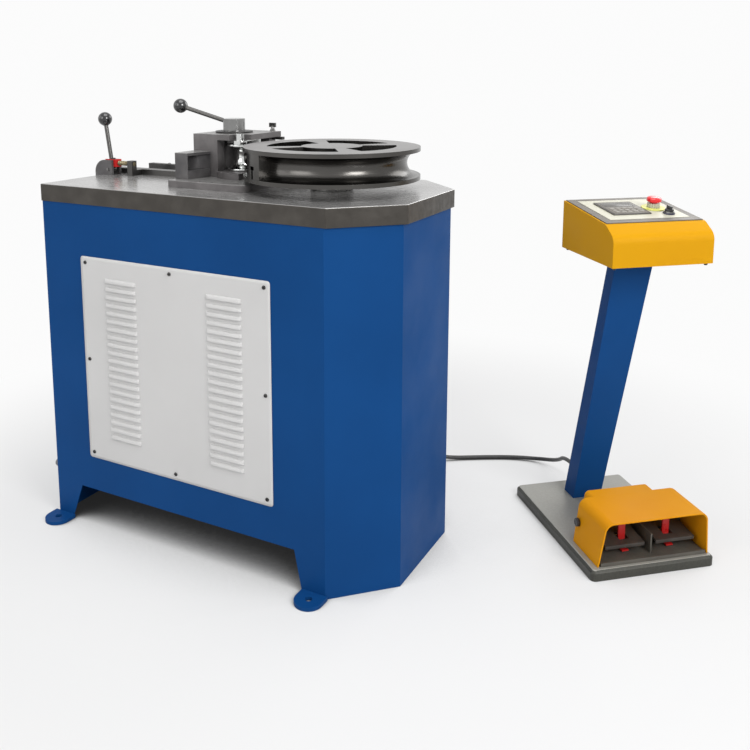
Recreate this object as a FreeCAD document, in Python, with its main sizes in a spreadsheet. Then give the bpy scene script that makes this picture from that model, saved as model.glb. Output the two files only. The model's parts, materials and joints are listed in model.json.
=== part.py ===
"""Motorized pipe bender: bending machine, control pedestal and foot switch."""
import FreeCAD
import Part
import math
import os
import re
import Sketcher

# Driving sizes in millimetres and degrees.
# The origin is the middle of the four floor bolts, +X runs to the pedestal,
# the louvred front faces -Y and +Z is up.
SIZES = {
    # how far a cutter runs past a face, and how far joined solids share
    "overcut": 1,
    "overlap": 1,
    # worktop
    "top_surface": 950,
    "top_plate": 46,
    "top_left": 436,
    "top_right": 585,
    "top_half_width": 281,
    "corner_cut": 138,
    "edge_break": 1.5,
    "spindle_hole_radius": 40,
    "key_slot_width": 30,
    "key_slot_left": 110,
    "key_slot_right": 110,
    # cabinet
    "sheet": 3,
    "overhang": 2,
    "overhang_right": 10,
    "fork_height": 106,
    "fork_left": 342,
    "fork_right": 354,
    "fork_flare_left": 42,
    "fork_flare_right": 22,
    "shelf_gap": 7,
    "rim_flange": 40,
    # floor lugs
    "lug_x": 411,
    "lug_reach": 28,
    "lug_radius": 36,
    "lug_plate": 10,
    "lug_hole_radius": 9,
    # louvred panel
    "panel_middle_x": -3,
    "panel_middle_z": 484,
    "panel_width": 599,
    "panel_height": 564,
    "panel_plate": 2,
    "panel_corner_radius": 8,
    "panel_lap": 40,
    "louvre_width": 104,
    "louvre_height": 11,
    "louvre_depth": 5,
    "louvre_wall": 1.2,
    "louvre_pitch": 21.5,
    "louvre_rows": 21,
    "louvre_column_x": 164.5,
    "louvre_shift": 3,
    "panel_screw_inset": 16.5,
    "panel_screw_radius": 5,
    "panel_screw_height": 3,
    # glands
    "gland_radius": 16,
    "gland_nut_length": 12,
    "gland_dome_length": 18,
    "gland_bore": 6.1,
    "gland_hole_play": 2,
    "gland_cap_radius": 12.8,
    "gland_tip_radius": 9.9,
    "gland_x": 300,
    "mains_y": 251,
    "mains_rise": 24,
    # drive under the worktop
    "spindle_radius": 25,
    "spindle_tail": 20,
    "spindle_end_gap": 1,
    "collar_radius": 55,
    "running_gap": 0.05,
    "flange_radius": 95,
    "flange_plate": 16,
    "barrel_radius": 55,
    "barrel_length": 54,
    "spigot_gap": 2,
    "gear_module": 5,
    "gear_teeth": 60,
    "pinion_teeth": 15,
    "gear_face": 36,
    "gear_gap": 14,
    "gear_web": 14,
    "gear_hub_radius": 45,
    "gear_rim_wall": 16,
    "tooth_backlash": 0.4,
    "pressure_angle": 20,
    "tooth_clearance": 0.2,
    "flank_start": 0.15,
    "gear_holes": 6,
    "pinion_shaft_radius": 15,
    "pinion_shaft_tail": 50,
    "pinion_end_gap": 0.5,
    "hanger_hole_play": 12,
    "hanger_plate": 12,
    "hanger_gap": 38,
    "hanger_half_x": 85,
    "hanger_half_y": 150,
    "hanger_post_radius": 15,
    "hanger_edge": 25,
    "gearbox_width": 170,
    "gearbox_height": 120,
    "motor_radius": 82,
    "motor_length": 210,
    "motor_flange_radius": 100,
    "motor_flange_plate": 14,
    "cowl_length": 70,
    "cowl_wall": 3,
    # former
    "former_radius": 226,
    "former_lift": 29,
    "former_height": 82,
    "groove_radius": 30.5,
    "groove_lip": 3.5,
    "former_rim_wall": 27,
    "former_hub_radius": 78,
    "former_web": 14,
    "former_barrel_radius": 48,
    "window_half_angle": 35,
    "former_bore_roof": 16,
    "hook_angle": 240,
    "hook_half_angle": 8.5,
    "hook_gap": 0.02,
    "hook_set_back": 1,
    "hook_slot_inset": 14,
    "hook_slot_stem": 8,
    "hook_slot_head": 18,
    "hook_slot_head_start": 8,
    "hook_slot_head_rise": 1,
    "hook_slot_head_drop": 8,
    "hook_slot_length": 40,
    # carriage
    "base_left": 91,
    "base_right": 156,
    "base_front": 169,
    "base_rear": 138.9,
    "base_plate": 18,
    "base_corner_radius": 25,
    "key_half_length": 88,
    "keeper_half_width": 40,
    "keeper_plate": 12,
    "post_neck_right": 50,
    "post_wall_right": 35,
    "post_front": 139,
    "post_height": 69,
    "post_slab": 8,
    "post_foot": 22,
    "post_scoop_radius": 40,
    "housing_front": 59,
    "housing_rear": 131,
    "housing_wall_right": 12,
    "housing_right": 67,
    "housing_back_wall": 31,
    "back_wall_right": 48,
    "roller_clearance": 3,
    "cap_plate": 15,
    "notch_left": 28,
    "notch_depth": 44,
    "pad_radius": 90,
    "pad_x": 51,
    "pad_gap": 1,
    "pad_former_gap": 4,
    # counter-roller and its yoke
    "roller_x": 31,
    "roller_radius": 45,
    "roller_waist": 21,
    "roller_height": 70,
    "roller_play": 1.95,
    "axle_radius": 11,
    "axle_collar_radius": 20,
    "axle_seat_depth": 7,
    "axle_end_gap": 1,
    "yoke_plate": 10,
    "yoke_left": 66,
    "yoke_right": 58,
    "yoke_half_width": 32,
    "yoke_middle_y": 11,
    "yoke_travel": 5,
    "yoke_column_x": 47,
    "yoke_column_y": 38,
    "yoke_column_radius": 12,
    "yoke_end_gap": 1,
    "yoke_boss_wall": 6,
    "yoke_column_rise": 3,
    # clamp lever
    "clamp_x": 18,
    "clamp_y": 27,
    "clamp_washer_radius": 51,
    "clamp_washer_plate": 5,
    "clamp_hub_radius": 30,
    "clamp_hub_height": 33,
    "clamp_stem_radius": 12,
    "cam_radius": 8,
    "cam_tail": 1,
    "cam_throw": 5,
    "cam_heading": 30,
    "cam_play": 0.1,
    "cam_slot_play": 0.5,
    "cam_room_play": 1,
    "cam_room_depth": 4,
    "clamp_rod_radius": 6,
    "clamp_rod_length": 125,
    "clamp_rod_heading": 192,
    "clamp_rod_rise": 16.5,
    "clamp_rod_level": 18.15,
    "clamp_rod_seat": 14,
    "knob_radius": 20,
    "knob_seat": 8,
    "knob_bore_gap": 2,
    # pipe stop
    "stop_bar_right": 81,
    "stop_bar_left": 12,
    "stop_bar_y": 121,
    "stop_bar_half_width": 7,
    "stop_bar_plate": 8,
    "stop_travel_in": 10,
    "stop_screw_x": 46,
    "stop_screw_radius": 5,
    "stop_slot_run": 16,
    "stop_slot_play": 0.2,
    "stop_end_gap": 8,
    "stop_stem_gap": 1,
    "stop_stem_drop": 8,
    "stop_boss_radius": 9,
    "stop_boss_height": 8,
    "stop_wing_half": 10,
    "stop_wing_plate": 6,
    "stop_wing_height": 12,
    "stop_screw_rise": 23,
    # feed of the carriage
    "rail_front": 139,
    "rail_rear": 159,
    "rail_inset": 10,
    "rail_right": 164,
    "rail_height": 16,
    "rail_screw_radius": 5,
    "rail_screw_height": 3,
    "rail_screw_count": 4,
    "bar_front": 2,
    "bar_rear": 32,
    "bar_height": 16,
    "ear_right": 330,
    "ear_plate": 18,
    "ear_half_width": 10,
    "ear_rim": 2,
    "feed_y": 31,
    "lever_arm": 18,
    "pivot_inset": 50,
    "pivot_lift": 16,
    "pin_offset": 5,
    "pin_radius": 4,
    "pin_play": 1.0,
    "clevis_reach": 18,
    "clevis_length": 42,
    "clevis_height": 22,
    "clevis_half_width": 11,
    "clevis_web": 4,
    "clevis_play": 0.4,
    "feed_rod_radius": 7,
    "lever_plate": 12,
    "lever_hub_radius": 10,
    "lever_eye_radius": 8.5,
    "lever_lean": 8.7,
    "lever_web_half": 6,
    "lever_web_rise": 14,
    "lever_shaft_start": 18,
    "lever_rod_radius": 5.9,
    "lever_ball_height": 146,
    "bracket_overhang": 26,
    "bracket_length": 64,
    "bracket_rise": 27,
    "bracket_cheek": 8,
    "bracket_half_width": 20,
    "bracket_radius": 36,
    "bracket_bridge_lap": 4,
    "bracket_bridge_plate": 7,
    "bracket_hook_drop": 30,
    "bracket_relief_play": 2,
    "bracket_relief_side": 4,
    "lever_pin_tail": 3,
    # pedestal, in its own frame: front edge middle, X right, Y back
    "pedestal_x": 1115.1,
    "pedestal_y": 207.7,
    "pedestal_turn": 41,
    "plinth_half_width": 171,
    "plinth_depth": 470,
    "plinth_height": 28,
    "plinth_bevel": 7,
    "plinth_corner": 14,
    "column_foot_front": 355,
    "column_head_front": 163,
    "column_foot_half": 43,
    "column_head_half": 54,
    "column_foot_depth": 55,
    "column_head_depth": 36,
    "column_wall": 3,
    "box_bottom": 784,
    "box_half_width": 135.5,
    "box_front": 40,
    "box_depth": 264,
    "box_front_height": 73,
    "box_brow": 41,
    "box_brow_height": 100,
    "box_back_height": 126,
    "box_wall": 3,
    "box_bend_radius": 30,
    "box_floor": 3,
    "box_screw_radius": 5,
    "box_screw_length": 6,
    "box_screw_inset": 12,
    "panel_frame_side": 4.5,
    "panel_frame_length": 216,
    "panel_frame_plate": 2.5,
    "panel_frame_margin": 4,
    "display_half_width": 52.5,
    "display_half_length": 55,
    "display_x": -28,
    "display_along": 115,
    "display_plate": 3,
    "bezel_lap": 5,
    "estop_x": 58,
    "estop_along": 111,
    "estop_collar_radius": 30,
    "estop_collar_height": 10,
    "estop_radius": 18.5,
    "estop_cap_height": 14,
    "estop_stem_radius": 9,
    "estop_stem_tail": 3,
    "estop_gap": 1,
    "estop_room_depth": 10,
    "estop_sleeve_radius": 15,
    "estop_plate": 3,
    "estop_flare_height": 8.4,
    "estop_bevel": 3,
    "estop_push": 5,
    "selector_x": 70,
    "selector_along": 58,
    "selector_radius": 15,
    "selector_height": 7,
    "selector_knob_radius": 11,
    "selector_knob_height": 13,
    "selector_post_radius": 7,
    "selector_post_tail": 5,
    "selector_well_depth": 8,
    "selector_gap": 0.3,
    "selector_disc_height": 5,
    "selector_grip_width": 7,
    "switch_depth": 38,
    "switch_body_radius": 13,
    # foot switch
    "guard_middle": 5,
    "guard_foot_half": 155,
    "guard_top_half": 141,
    "guard_height": 118,
    "guard_front": 15,
    "guard_brow": 10,
    "guard_rear": 145,
    "guard_wall": 4,
    "guard_corner": 24,
    "guard_back_height": 113,
    "guard_back_left": -98,
    "guard_back_right": 86,
    "guard_back_rear": 188,
    "guard_back_flare": 14,
    "guard_back_corner": 12,
    "guard_screw_y": 130,
    "guard_screw_rise": 60,
    "guard_screw_radius": 11,
    "guard_screw_height": 9,
    "tray_half": 146,
    "tray_front": 14,
    "tray_rear_gap": 4,
    "tray_plate": 5,
    "tray_lip": 10,
    "tray_lip_plate": 5,
    "tray_ear_half": 3,
    "tray_ear_front": 10,
    "tray_ear_depth": 16,
    "tray_ear_rim": 8,
    "pedal_left_x": -59,
    "pedal_right_x": 83,
    "pedal_half": 55,
    "pedal_front": 44,
    "pedal_plate": 6,
    "pedal_lip_plate": 4,
    "pedal_lip_drop": 4,
    "pedal_lip_height": 6,
    "pedal_axle_y": 130,
    "pedal_axle_rise": 38,
    "pedal_axle_radius": 4,
    "pedal_axle_tail": 4,
    "pedal_hub_radius": 8,
    "tray_ear_gap": 4,
    "latch_half": 9.5,
    "latch_left_x": -50,
    "latch_right_x": 76,
    "latch_plate": 5,
    "latch_y": 80,
    "latch_length": 72,
    "latch_pivot_rise": 13,
    "latch_slot_half": 13,
    "latch_slot_length": 30,
    "latch_toe": 24,
    "latch_toe_plate": 4,
    "latch_toe_drop": 5,
    "latch_eye_radius": 5,
    "latch_pin_radius": 3,
    "latch_post_gap": 1,
    "latch_post_plate": 4,
    "latch_post_half": 6,
    "latch_post_rim": 4,
    "divider_half": 2,
    "divider_gap": 26,
    "divider_height": 52,
    "cord_radius": 6,
    "column_gland_x": 2,
    "column_gland_rise": 56,
    "gland_boss": 7,
    "column_boss_wall": 2,
    "cable_start_run": 53,
    "cable_end_run": 72,
    "overlay_margin": 22,
    "overlay_plate": 1,
    "guard_step_front": 125,
    "pedal_slope": 6,
}

# Sizes that follow from the driving ones.
DERIVED = {
    "lug_y": "top_half_width - overhang + lug_reach",
    "shelf_height": "fork_height + shelf_gap",
    "gland_z": "shelf_height + sheet + gland_radius",
    "mains_z": "shelf_height + mains_rise",
    "louvre_bottom": "panel_middle_z - louvre_pitch * (louvre_rows - 1) / 2 + louvre_shift",
    "panel_screw_x": "panel_width / 2 - panel_screw_inset",
    "panel_screw_z": "panel_height / 2 - panel_screw_inset",
    "groove_line_radius": "former_radius - groove_lip",
    "former_rim_inner": "groove_line_radius - groove_radius - former_rim_wall",
    "former_bore_depth": "former_height - former_bore_roof",
    "former_bottom": "top_surface + former_lift",
    "spindle_x": "roller_x + roller_waist + groove_radius + groove_line_radius",
    "gear_bottom": "top_surface - top_plate - barrel_length - gear_gap - gear_face",
    "spindle_bottom": "gear_bottom - spindle_tail",
    "hanger_level": "gear_bottom - hanger_gap - hanger_plate",
    "pinion_shaft_bottom": "hanger_level - pinion_shaft_tail",
    "roller_middle": "former_bottom + former_height / 2",
    "pad_plate": "roller_middle - roller_height / 2 - pad_gap - top_surface - base_plate",
    "pad_right": "spindle_x - former_radius - pad_former_gap",
    "cap_top": "roller_middle + roller_height / 2 + roller_play + yoke_plate + running_gap + cap_plate",
    "stop_screw_top": "cap_top + stop_screw_rise",
    "rail_left": "top_left - rail_inset",
    "bracket_left": "top_left + bracket_overhang",
    "bracket_right": "bracket_left - bracket_length",
    "pivot_x": "bracket_left - pivot_inset",
    "pivot_z": "top_surface + pivot_lift",
    "feed_pin_z": "pivot_z + lever_arm",
    "bracket_top": "pivot_z + bracket_rise",
    "ear_top": "feed_pin_z + feed_rod_radius + ear_rim",
    "clevis_left": "pivot_x + clevis_reach",
    "clevis_right": "clevis_left - clevis_length",
    "column_gland_z": "plinth_height + column_gland_rise",
    "panel_frame_half": "box_half_width - panel_frame_side",
    "guard_screw_z": "plinth_height + guard_screw_rise",
    "tray_rear": "guard_rear - guard_wall - tray_rear_gap",
    "pedal_axle_z": "plinth_height + pedal_axle_rise",
    "latch_pivot_z": "plinth_height + latch_pivot_rise",
    "latch_top": "latch_pivot_z + latch_length",
    "pedal_middle": "(pedal_left_x + pedal_right_x) / 2",
    "ear_half": "(pedal_right_x - pedal_left_x) / 2 + pedal_half + tray_ear_gap",
}

document = FreeCAD.newDocument("motorized_pipe_bender")
sheet = document.addObject("Spreadsheet::Sheet", "Sizes")
for row, (alias, number) in enumerate(SIZES.items(), start=1):
    sheet.set(f"A{row}", alias)
    sheet.set(f"B{row}", str(number))
    sheet.setAlias(f"B{row}", alias)
document.recompute()

NODES = []
ALONG = {
    "X": FreeCAD.Vector(1, 0, 0),
    "Y": FreeCAD.Vector(0, 1, 0),
    "Z": FreeCAD.Vector(0, 0, 1),
}
UP = ALONG["Z"]
# How much shorter a 45 degree corner cut gets for each millimetre that the outline shrinks.
CUT_SHARE = "(2 - 2 * sin(45))"
COLUMN_LEAN = "((column_foot_front + column_foot_depth - column_head_front - column_head_depth)" \
              " / (box_bottom - plinth_height))"
COLUMN_REAR = "(column_foot_front + column_foot_depth" \
              f" - {COLUMN_LEAN} * (column_gland_z - plinth_height))"


def lookup(word):
    """A size's cell, or the expression that a derived size stands for."""
    alias = word.group(0)
    if alias in DERIVED:
        return f"({named(DERIVED[alias])})"
    return f"Sizes.{alias}" if alias in SIZES else alias


def named(text):
    """An expression in which each size is looked up in the sheet."""
    return re.sub(r"[a-z][a-z_]+", lookup, text)


def size(text):
    """The number that a size or an expression of sizes has now."""
    return float(sheet.evalExpression(named(text)))


def bind(item, prop, text):
    item.setExpression(prop, named(str(text)))


def place(item, at, rotation=None):
    """Puts an item at three expressions, turned by an optional rotation."""
    if rotation is not None:
        item.Placement = FreeCAD.Placement(FreeCAD.Vector(), rotation)
    for axis, text in zip("xyz", at):
        bind(item, f"Placement.Base.{axis}", text)
    return item


def block(name, low, lengths, rotation=None):
    """A box from its low corner and its three lengths."""
    item = document.addObject("Part::Box", name)
    for prop, text in zip(("Length", "Width", "Height"), lengths):
        bind(item, prop, text)
    return place(item, low, rotation)


def rod(name, radius, length, at, axis="Z", rotation=None):
    """A cylinder that starts at a point and runs along an axis."""
    item = document.addObject("Part::Cylinder", name)
    bind(item, "Radius", radius)
    bind(item, "Height", length)
    return place(item, at, rotation or FreeCAD.Rotation(UP, ALONG[axis]))


def cone(name, low_radius, high_radius, length, at, axis="Z", rotation=None):
    item = document.addObject("Part::Cone", name)
    bind(item, "Radius1", low_radius)
    bind(item, "Radius2", high_radius)
    bind(item, "Height", length)
    return place(item, at, rotation or FreeCAD.Rotation(UP, ALONG[axis]))


def ball(name, radius, at):
    item = document.addObject("Part::Sphere", name)
    bind(item, "Radius", radius)
    return place(item, at)


def ring(name, line_radius, section_radius, at):
    item = document.addObject("Part::Torus", name)
    bind(item, "Radius1", line_radius)
    bind(item, "Radius2", section_radius)
    return place(item, at)


def join(name, items):
    item = document.addObject("Part::MultiFuse", name)
    item.Shapes = items
    return item


def carve(name, base, tools):
    """The base without the tools."""
    item = document.addObject("Part::Cut", name)
    item.Base = base
    item.Tool = tools[0] if len(tools) == 1 else join(name + "_tools", tools)
    return item


def common(name, base, tool):
    item = document.addObject("Part::Common", name)
    item.Base = base
    item.Tool = tool
    return item


def outline(body, name, role, corners, offset="0"):
    """A closed sketch of straight edges whose corners are tied to the sheet."""
    sketch = body.newObject("Sketcher::SketchObject", name)
    face = next(plane for plane in body.Origin.OriginFeatures if plane.Role == role)
    sketch.AttachmentSupport = [(face, "")]
    sketch.MapMode = "FlatFace"
    bind(sketch, "AttachmentOffset.Base.z", offset)
    count = len(corners)
    start = [
        FreeCAD.Vector(100 * math.cos(math.tau * i / count), 100 * math.sin(math.tau * i / count), 0)
        for i in range(count)
    ]
    for i in range(count):
        sketch.addGeometry(Part.LineSegment(start[i], start[(i + 1) % count]), False)
    for i in range(count):
        sketch.addConstraint(Sketcher.Constraint("Coincident", i, 2, (i + 1) % count, 1))
    for i, (across, along) in enumerate(corners):
        for kind, text in (("DistanceX", across), ("DistanceY", along)):
            index = sketch.addConstraint(Sketcher.Constraint(kind, -1, 1, i, 1, 1.0))
            label = f"{kind}{i}"
            sketch.renameConstraint(index, label)
            bind(sketch, f"Constraints.{label}", text)
    return sketch


def prism(name, role, corners, length, offset="0"):
    """A body padded from an outline along the plane's normal."""
    body = document.addObject("PartDesign::Body", name)
    sketch = outline(body, name + "_outline", role, corners, offset)
    pad = body.newObject("PartDesign::Pad", name + "_pad")
    pad.Profile = sketch
    bind(pad, "Length", length)
    document.recompute()
    return body


def round_edges(body, name, radius, chosen, kind="Fillet"):
    """Rounds or bevels those edges of a body that the test chooses."""
    tip = body.Tip
    edges = [f"Edge{i}" for i, edge in enumerate(tip.Shape.Edges, start=1) if chosen(edge)]
    item = body.newObject(f"PartDesign::{kind}", name)
    item.Base = (tip, edges)
    bind(item, "Radius" if kind == "Fillet" else "Size", radius)
    body.Tip = item
    document.recompute()
    return body


def is_along(edge, axis):
    """True for a straight edge that runs along an axis."""
    if not isinstance(edge.Curve, Part.Line):
        return False
    return abs(edge.tangentAt(edge.FirstParameter).dot(ALONG[axis])) > 0.999


def to_pedestal(name, items):
    """A group that is moved from the pedestal's own frame to its place on the floor."""
    item = document.addObject("Part::Compound", name)
    item.Links = items
    place(item, ("pedestal_x", "pedestal_y", "0"), FreeCAD.Rotation(UP, size("pedestal_turn")))
    bind(item, "Placement.Rotation.Angle", "pedestal_turn")
    return item


def node(label, items, pedestal=False):
    """Names one sub-part, and moves it if it belongs to the pedestal."""
    if pedestal:
        item = to_pedestal(label + "_part", items)
    else:
        item = document.addObject("Part::Compound", label + "_part")
        item.Links = items
    item.Label = label
    NODES.append(item)
    return item


def shaped(name, shape):
    """A feature that holds a shape made by a formula."""
    item = document.addObject("Part::Feature", name)
    item.Shape = shape
    return item


def plan_of_table(inset_left, inset_side, inset_right, cut):
    """The table's outline from above, with both right corners cut off."""
    return [
        (f"-top_left + {inset_left}", f"-top_half_width + {inset_side}"),
        (f"top_right - {inset_right} - ({cut})", f"-top_half_width + {inset_side}"),
        (f"top_right - {inset_right}", f"-top_half_width + {inset_side} + ({cut})"),
        (f"top_right - {inset_right}", f"top_half_width - {inset_side} - ({cut})"),
        (f"top_right - {inset_right} - ({cut})", f"top_half_width - {inset_side}"),
        (f"-top_left + {inset_left}", f"top_half_width - {inset_side}"),
    ]


def fork(name, y, depth):
    """The trapezoid that is cut out of a long wall between the legs."""
    corners = [
        ("-fork_left - fork_flare_left", "-overcut"),
        ("fork_right + fork_flare_right", "-overcut"),
        ("fork_right", "fork_height"),
        ("-fork_left", "fork_height"),
    ]
    return prism(name, "XZ_Plane", corners, depth, f"-({y})")


def worktop():
    slab = prism("top_slab", "XY_Plane", plan_of_table("0", "0", "0", "corner_cut"),
                 "top_plate", "top_surface - top_plate")
    round_edges(slab, "top_edge_break", "edge_break",
                lambda edge: edge.BoundBox.ZMin > size("top_surface") - 1, "Chamfer")
    hole = rod("top_spindle_hole", "spindle_hole_radius", "top_plate + 2 * overcut",
               ("spindle_x", "0", "top_surface - top_plate - overcut"))
    slot = block("top_key_slot",
                 ("-key_slot_left", "-key_slot_width / 2", "top_surface - top_plate - overcut"),
                 ("key_slot_left + key_slot_right", "key_slot_width", "top_plate + 2 * overcut"))
    node("worktop", [carve("top_cut", slab, [hole, slot])])


def cabinet():
    """Folded sheet walls with a fork cut-out front and back, a shelf and a top flange."""
    body_height = "top_surface - top_plate"
    outer_cut = "corner_cut - (overhang_right - overhang) * tan(22.5)"
    inner_cut = f"{outer_cut} - sheet * {CUT_SHARE}"
    outer = prism("cabinet_outer", "XY_Plane",
                  plan_of_table("overhang", "overhang", "overhang_right", outer_cut), body_height)
    inner = plan_of_table("(overhang + sheet)", "(overhang + sheet)", "(overhang_right + sheet)",
                          inner_cut)
    below = prism("cabinet_below", "XY_Plane", inner, "shelf_height + overcut", "-overcut")
    above = prism("cabinet_above", "XY_Plane", inner, f"{body_height} - shelf_height - 2 * sheet",
                  "shelf_height + sheet")
    flange_plan = plan_of_table("(overhang + rim_flange)", "(overhang + rim_flange)",
                                "(overhang_right + rim_flange)",
                                f"{outer_cut} - rim_flange * {CUT_SHARE}")
    mouth = prism("cabinet_mouth", "XY_Plane", flange_plan, "sheet + 2 * overcut",
                  f"{body_height} - sheet - overcut")
    wall_depth = "sheet + 2 * overcut"
    front_y = "-top_half_width + overhang + sheet + overcut"
    forks = [
        fork("fork_front", front_y, wall_depth),
        fork("fork_back", "top_half_width - overhang + overcut", wall_depth),
    ]
    window = block("cabinet_window",
                   ("panel_middle_x - panel_width / 2 + panel_lap",
                    "-top_half_width + overhang - overcut",
                    "panel_middle_z - panel_height / 2 + panel_lap"),
                   ("panel_width - 2 * panel_lap", wall_depth, "panel_height - 2 * panel_lap"))
    gland_hole = rod("gland_hole", "gland_bore + gland_hole_play", wall_depth,
                     ("gland_x", "top_half_width - overhang - sheet - overcut", "gland_z"), "Y")
    mains_hole = rod("mains_hole", "gland_bore + gland_hole_play", wall_depth,
                     ("-top_left + overhang - overcut", "-mains_y", "mains_z"), "X")
    tools = [below, above, mouth, window, gland_hole, mains_hole] + forks
    node("cabinet_shell", [carve("cabinet_walls", outer, tools)])


def foot_lugs():
    """Four rounded floor lugs, welded to the long walls at the legs."""
    lugs = []
    for side_x in ("-", ""):
        for side_y in ("-", ""):
            tag = f"lug_{len(lugs)}"
            face = f"{side_y}(top_half_width - overhang)"
            low = face if side_y == "" else "-lug_y"
            reach = "lug_y - (top_half_width - overhang)"
            tongue = block(tag + "_tongue", (f"{side_x}lug_x - lug_radius", low, "0"),
                           ("2 * lug_radius", reach, "lug_plate"))
            nose = rod(tag + "_nose", "lug_radius", "lug_plate",
                       (f"{side_x}lug_x", f"{side_y}lug_y", "0"))
            inside = block(tag + "_inside",
                           (f"{side_x}lug_x - 2 * lug_radius",
                            f"{face} - 4 * lug_radius" if side_y == "" else face, "-overcut"),
                           ("4 * lug_radius", "4 * lug_radius", "lug_plate + 2 * overcut"))
            hole = rod(tag + "_hole", "lug_hole_radius", "lug_plate + 2 * overcut",
                       (f"{side_x}lug_x", f"{side_y}lug_y", "-overcut"))
            lugs.append(carve(tag, join(tag + "_blank", [tongue, nose]), [inside, hole]))
    node("foot_lugs", lugs)


def louvre_panel():
    """A sheet with two columns of pressed hoods, each open along its lower edge."""
    body = document.addObject("PartDesign::Body", "louvre_sheet")
    left = "panel_middle_x - panel_width / 2"
    right = "panel_middle_x + panel_width / 2"
    low = "panel_middle_z - panel_height / 2"
    high = "panel_middle_z + panel_height / 2"
    corners = [(left, low), (right, low), (right, high), (left, high)]
    sketch = outline(body, "louvre_sheet_outline", "XZ_Plane", corners, "top_half_width - overhang")
    pad = body.newObject("PartDesign::Pad", "louvre_sheet_pad")
    pad.Profile = sketch
    bind(pad, "Length", "panel_plate")
    document.recompute()
    round_edges(body, "louvre_sheet_corners", "panel_corner_radius", lambda edge: is_along(edge, "Y"))
    hood = body.newObject("PartDesign::AdditiveWedge", "louvre_hood")
    slot = body.newObject("PartDesign::SubtractiveWedge", "louvre_slot")
    hood_sizes = {
        "Xmin": "-louvre_width / 2 + louvre_depth", "Xmax": "louvre_width / 2 - louvre_depth",
        "X2min": "-louvre_width / 2", "X2max": "louvre_width / 2",
        "Ymin": "-louvre_depth", "Ymax": "panel_plate / 2",
        "Zmin": "0", "Zmax": "louvre_wall",
        "Z2min": "0", "Z2max": "louvre_height",
    }
    slot_sizes = {
        "Xmin": "-louvre_width / 2 + louvre_depth + louvre_wall",
        "Xmax": "louvre_width / 2 - louvre_depth - louvre_wall",
        "X2min": "-louvre_width / 2 + 2 * louvre_wall", "X2max": "louvre_width / 2 - 2 * louvre_wall",
        "Ymin": "-louvre_depth + louvre_wall", "Ymax": "panel_plate + overcut",
        "Zmin": "-louvre_wall / 2", "Zmax": "louvre_wall / 4",
        "Z2min": "-louvre_wall / 2", "Z2max": "louvre_height - 2 * louvre_wall",
    }
    for wedge, sizes in ((hood, hood_sizes), (slot, slot_sizes)):
        for prop, text in sizes.items():
            bind(wedge, prop, text)
        wedge.AttachmentSupport = None
        wedge.MapMode = "Deactivated"
        place(wedge, ("panel_middle_x - louvre_column_x",
                      "-top_half_width + overhang - panel_plate", "louvre_bottom"))
    document.recompute()
    rows = body.newObject("PartDesign::LinearPattern", "louvre_rows_pattern")
    axis = {item.Role: item for item in body.Origin.OriginFeatures}
    rows.Originals = [hood, slot]
    rows.Direction = (axis["Z_Axis"], [""])
    bind(rows, "Length", "louvre_pitch * (louvre_rows - 1)")
    rows.Occurrences = int(size("louvre_rows"))
    body.Tip = rows
    document.recompute()
    other = document.addObject("Part::Mirroring", "louvre_other_column")
    other.Source = body
    other.Normal = ALONG["X"]
    bind(other, "Base.x", "panel_middle_x")
    hood_front = "-top_half_width + overhang - panel_plate - louvre_depth - overcut"
    hood_room = "panel_plate + louvre_depth + 2 * overcut"
    keep_left = block("louvre_left_half", (f"{left} - overcut", hood_front, f"{low} - overcut"),
                      ("panel_width / 2 + overcut", hood_room, "panel_height + 2 * overcut"))
    keep_right = block("louvre_right_half", ("panel_middle_x", hood_front, f"{low} - overcut"),
                       ("panel_width / 2 + overcut", hood_room, "panel_height + 2 * overcut"))
    sheet_halves = join("louvre_panel_whole", [
        common("louvre_half_one", body, keep_left),
        common("louvre_half_two", other, keep_right),
    ])
    sheet_halves.Refine = True
    node("louvre_panel", [sheet_halves])


def panel_screws():
    """Eight dark button-head screws along the edge of the louvred panel."""
    screws = []
    for across in (-1, 0, 1):
        for up in (-1, 0, 1):
            if across == 0 and up == 0:
                continue
            tag = f"panel_screw_{len(screws)}"
            head = rod(tag, "panel_screw_radius", "panel_screw_height",
                       (f"panel_middle_x + {across} * panel_screw_x",
                        "-top_half_width + overhang - panel_plate - panel_screw_height",
                        f"panel_middle_z + {up} * panel_screw_z"), "Y")
            screws.append(head)
    node("panel_screws", screws)


def gland_solids(tag, at, rotation):
    """A cable gland: hexagon nut with a domed cap and a bore."""
    nut = document.addObject("Part::Prism", tag + "_nut")
    nut.Polygon = 6
    bind(nut, "Circumradius", "gland_radius")
    bind(nut, "Height", "gland_nut_length")
    cap = cone(tag + "_cap", "gland_cap_radius", "gland_tip_radius", "gland_dome_length",
               ("0", "0", "gland_nut_length"), "Z")
    bore = rod(tag + "_bore", "gland_bore", "gland_dome_length + overcut",
               ("0", "0", "gland_nut_length"))
    item = carve(tag, join(tag + "_solid", [nut, cap]), [bore])
    return place(item, at, rotation)


def glands():
    """Three alike cable glands: mains inlet, machine outlet and column inlet."""
    mains = gland_solids("mains_gland", ("-top_left + overhang", "-mains_y", "mains_z"),
                         FreeCAD.Rotation(UP, FreeCAD.Vector(-1, 0, 0)))
    machine = gland_solids("machine_gland", ("gland_x", "top_half_width - overhang", "gland_z"),
                           FreeCAD.Rotation(UP, ALONG["Y"]))
    column = gland_solids("column_gland",
                          ("column_gland_x", f"{COLUMN_REAR} + gland_boss", "column_gland_z"),
                          FreeCAD.Rotation(UP, ALONG["Y"]))
    moved = to_pedestal("column_gland_placed", [column])
    node("cable_glands", [mains, machine, moved])


def involute_point(base_radius, radius, mid_angle):
    """A point of a tooth flank at a radius, as seen from the tooth's middle line."""
    tilt = math.acos(min(1.0, base_radius / radius))
    angle = mid_angle - (math.tan(tilt) - tilt)
    return radius, angle


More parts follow.
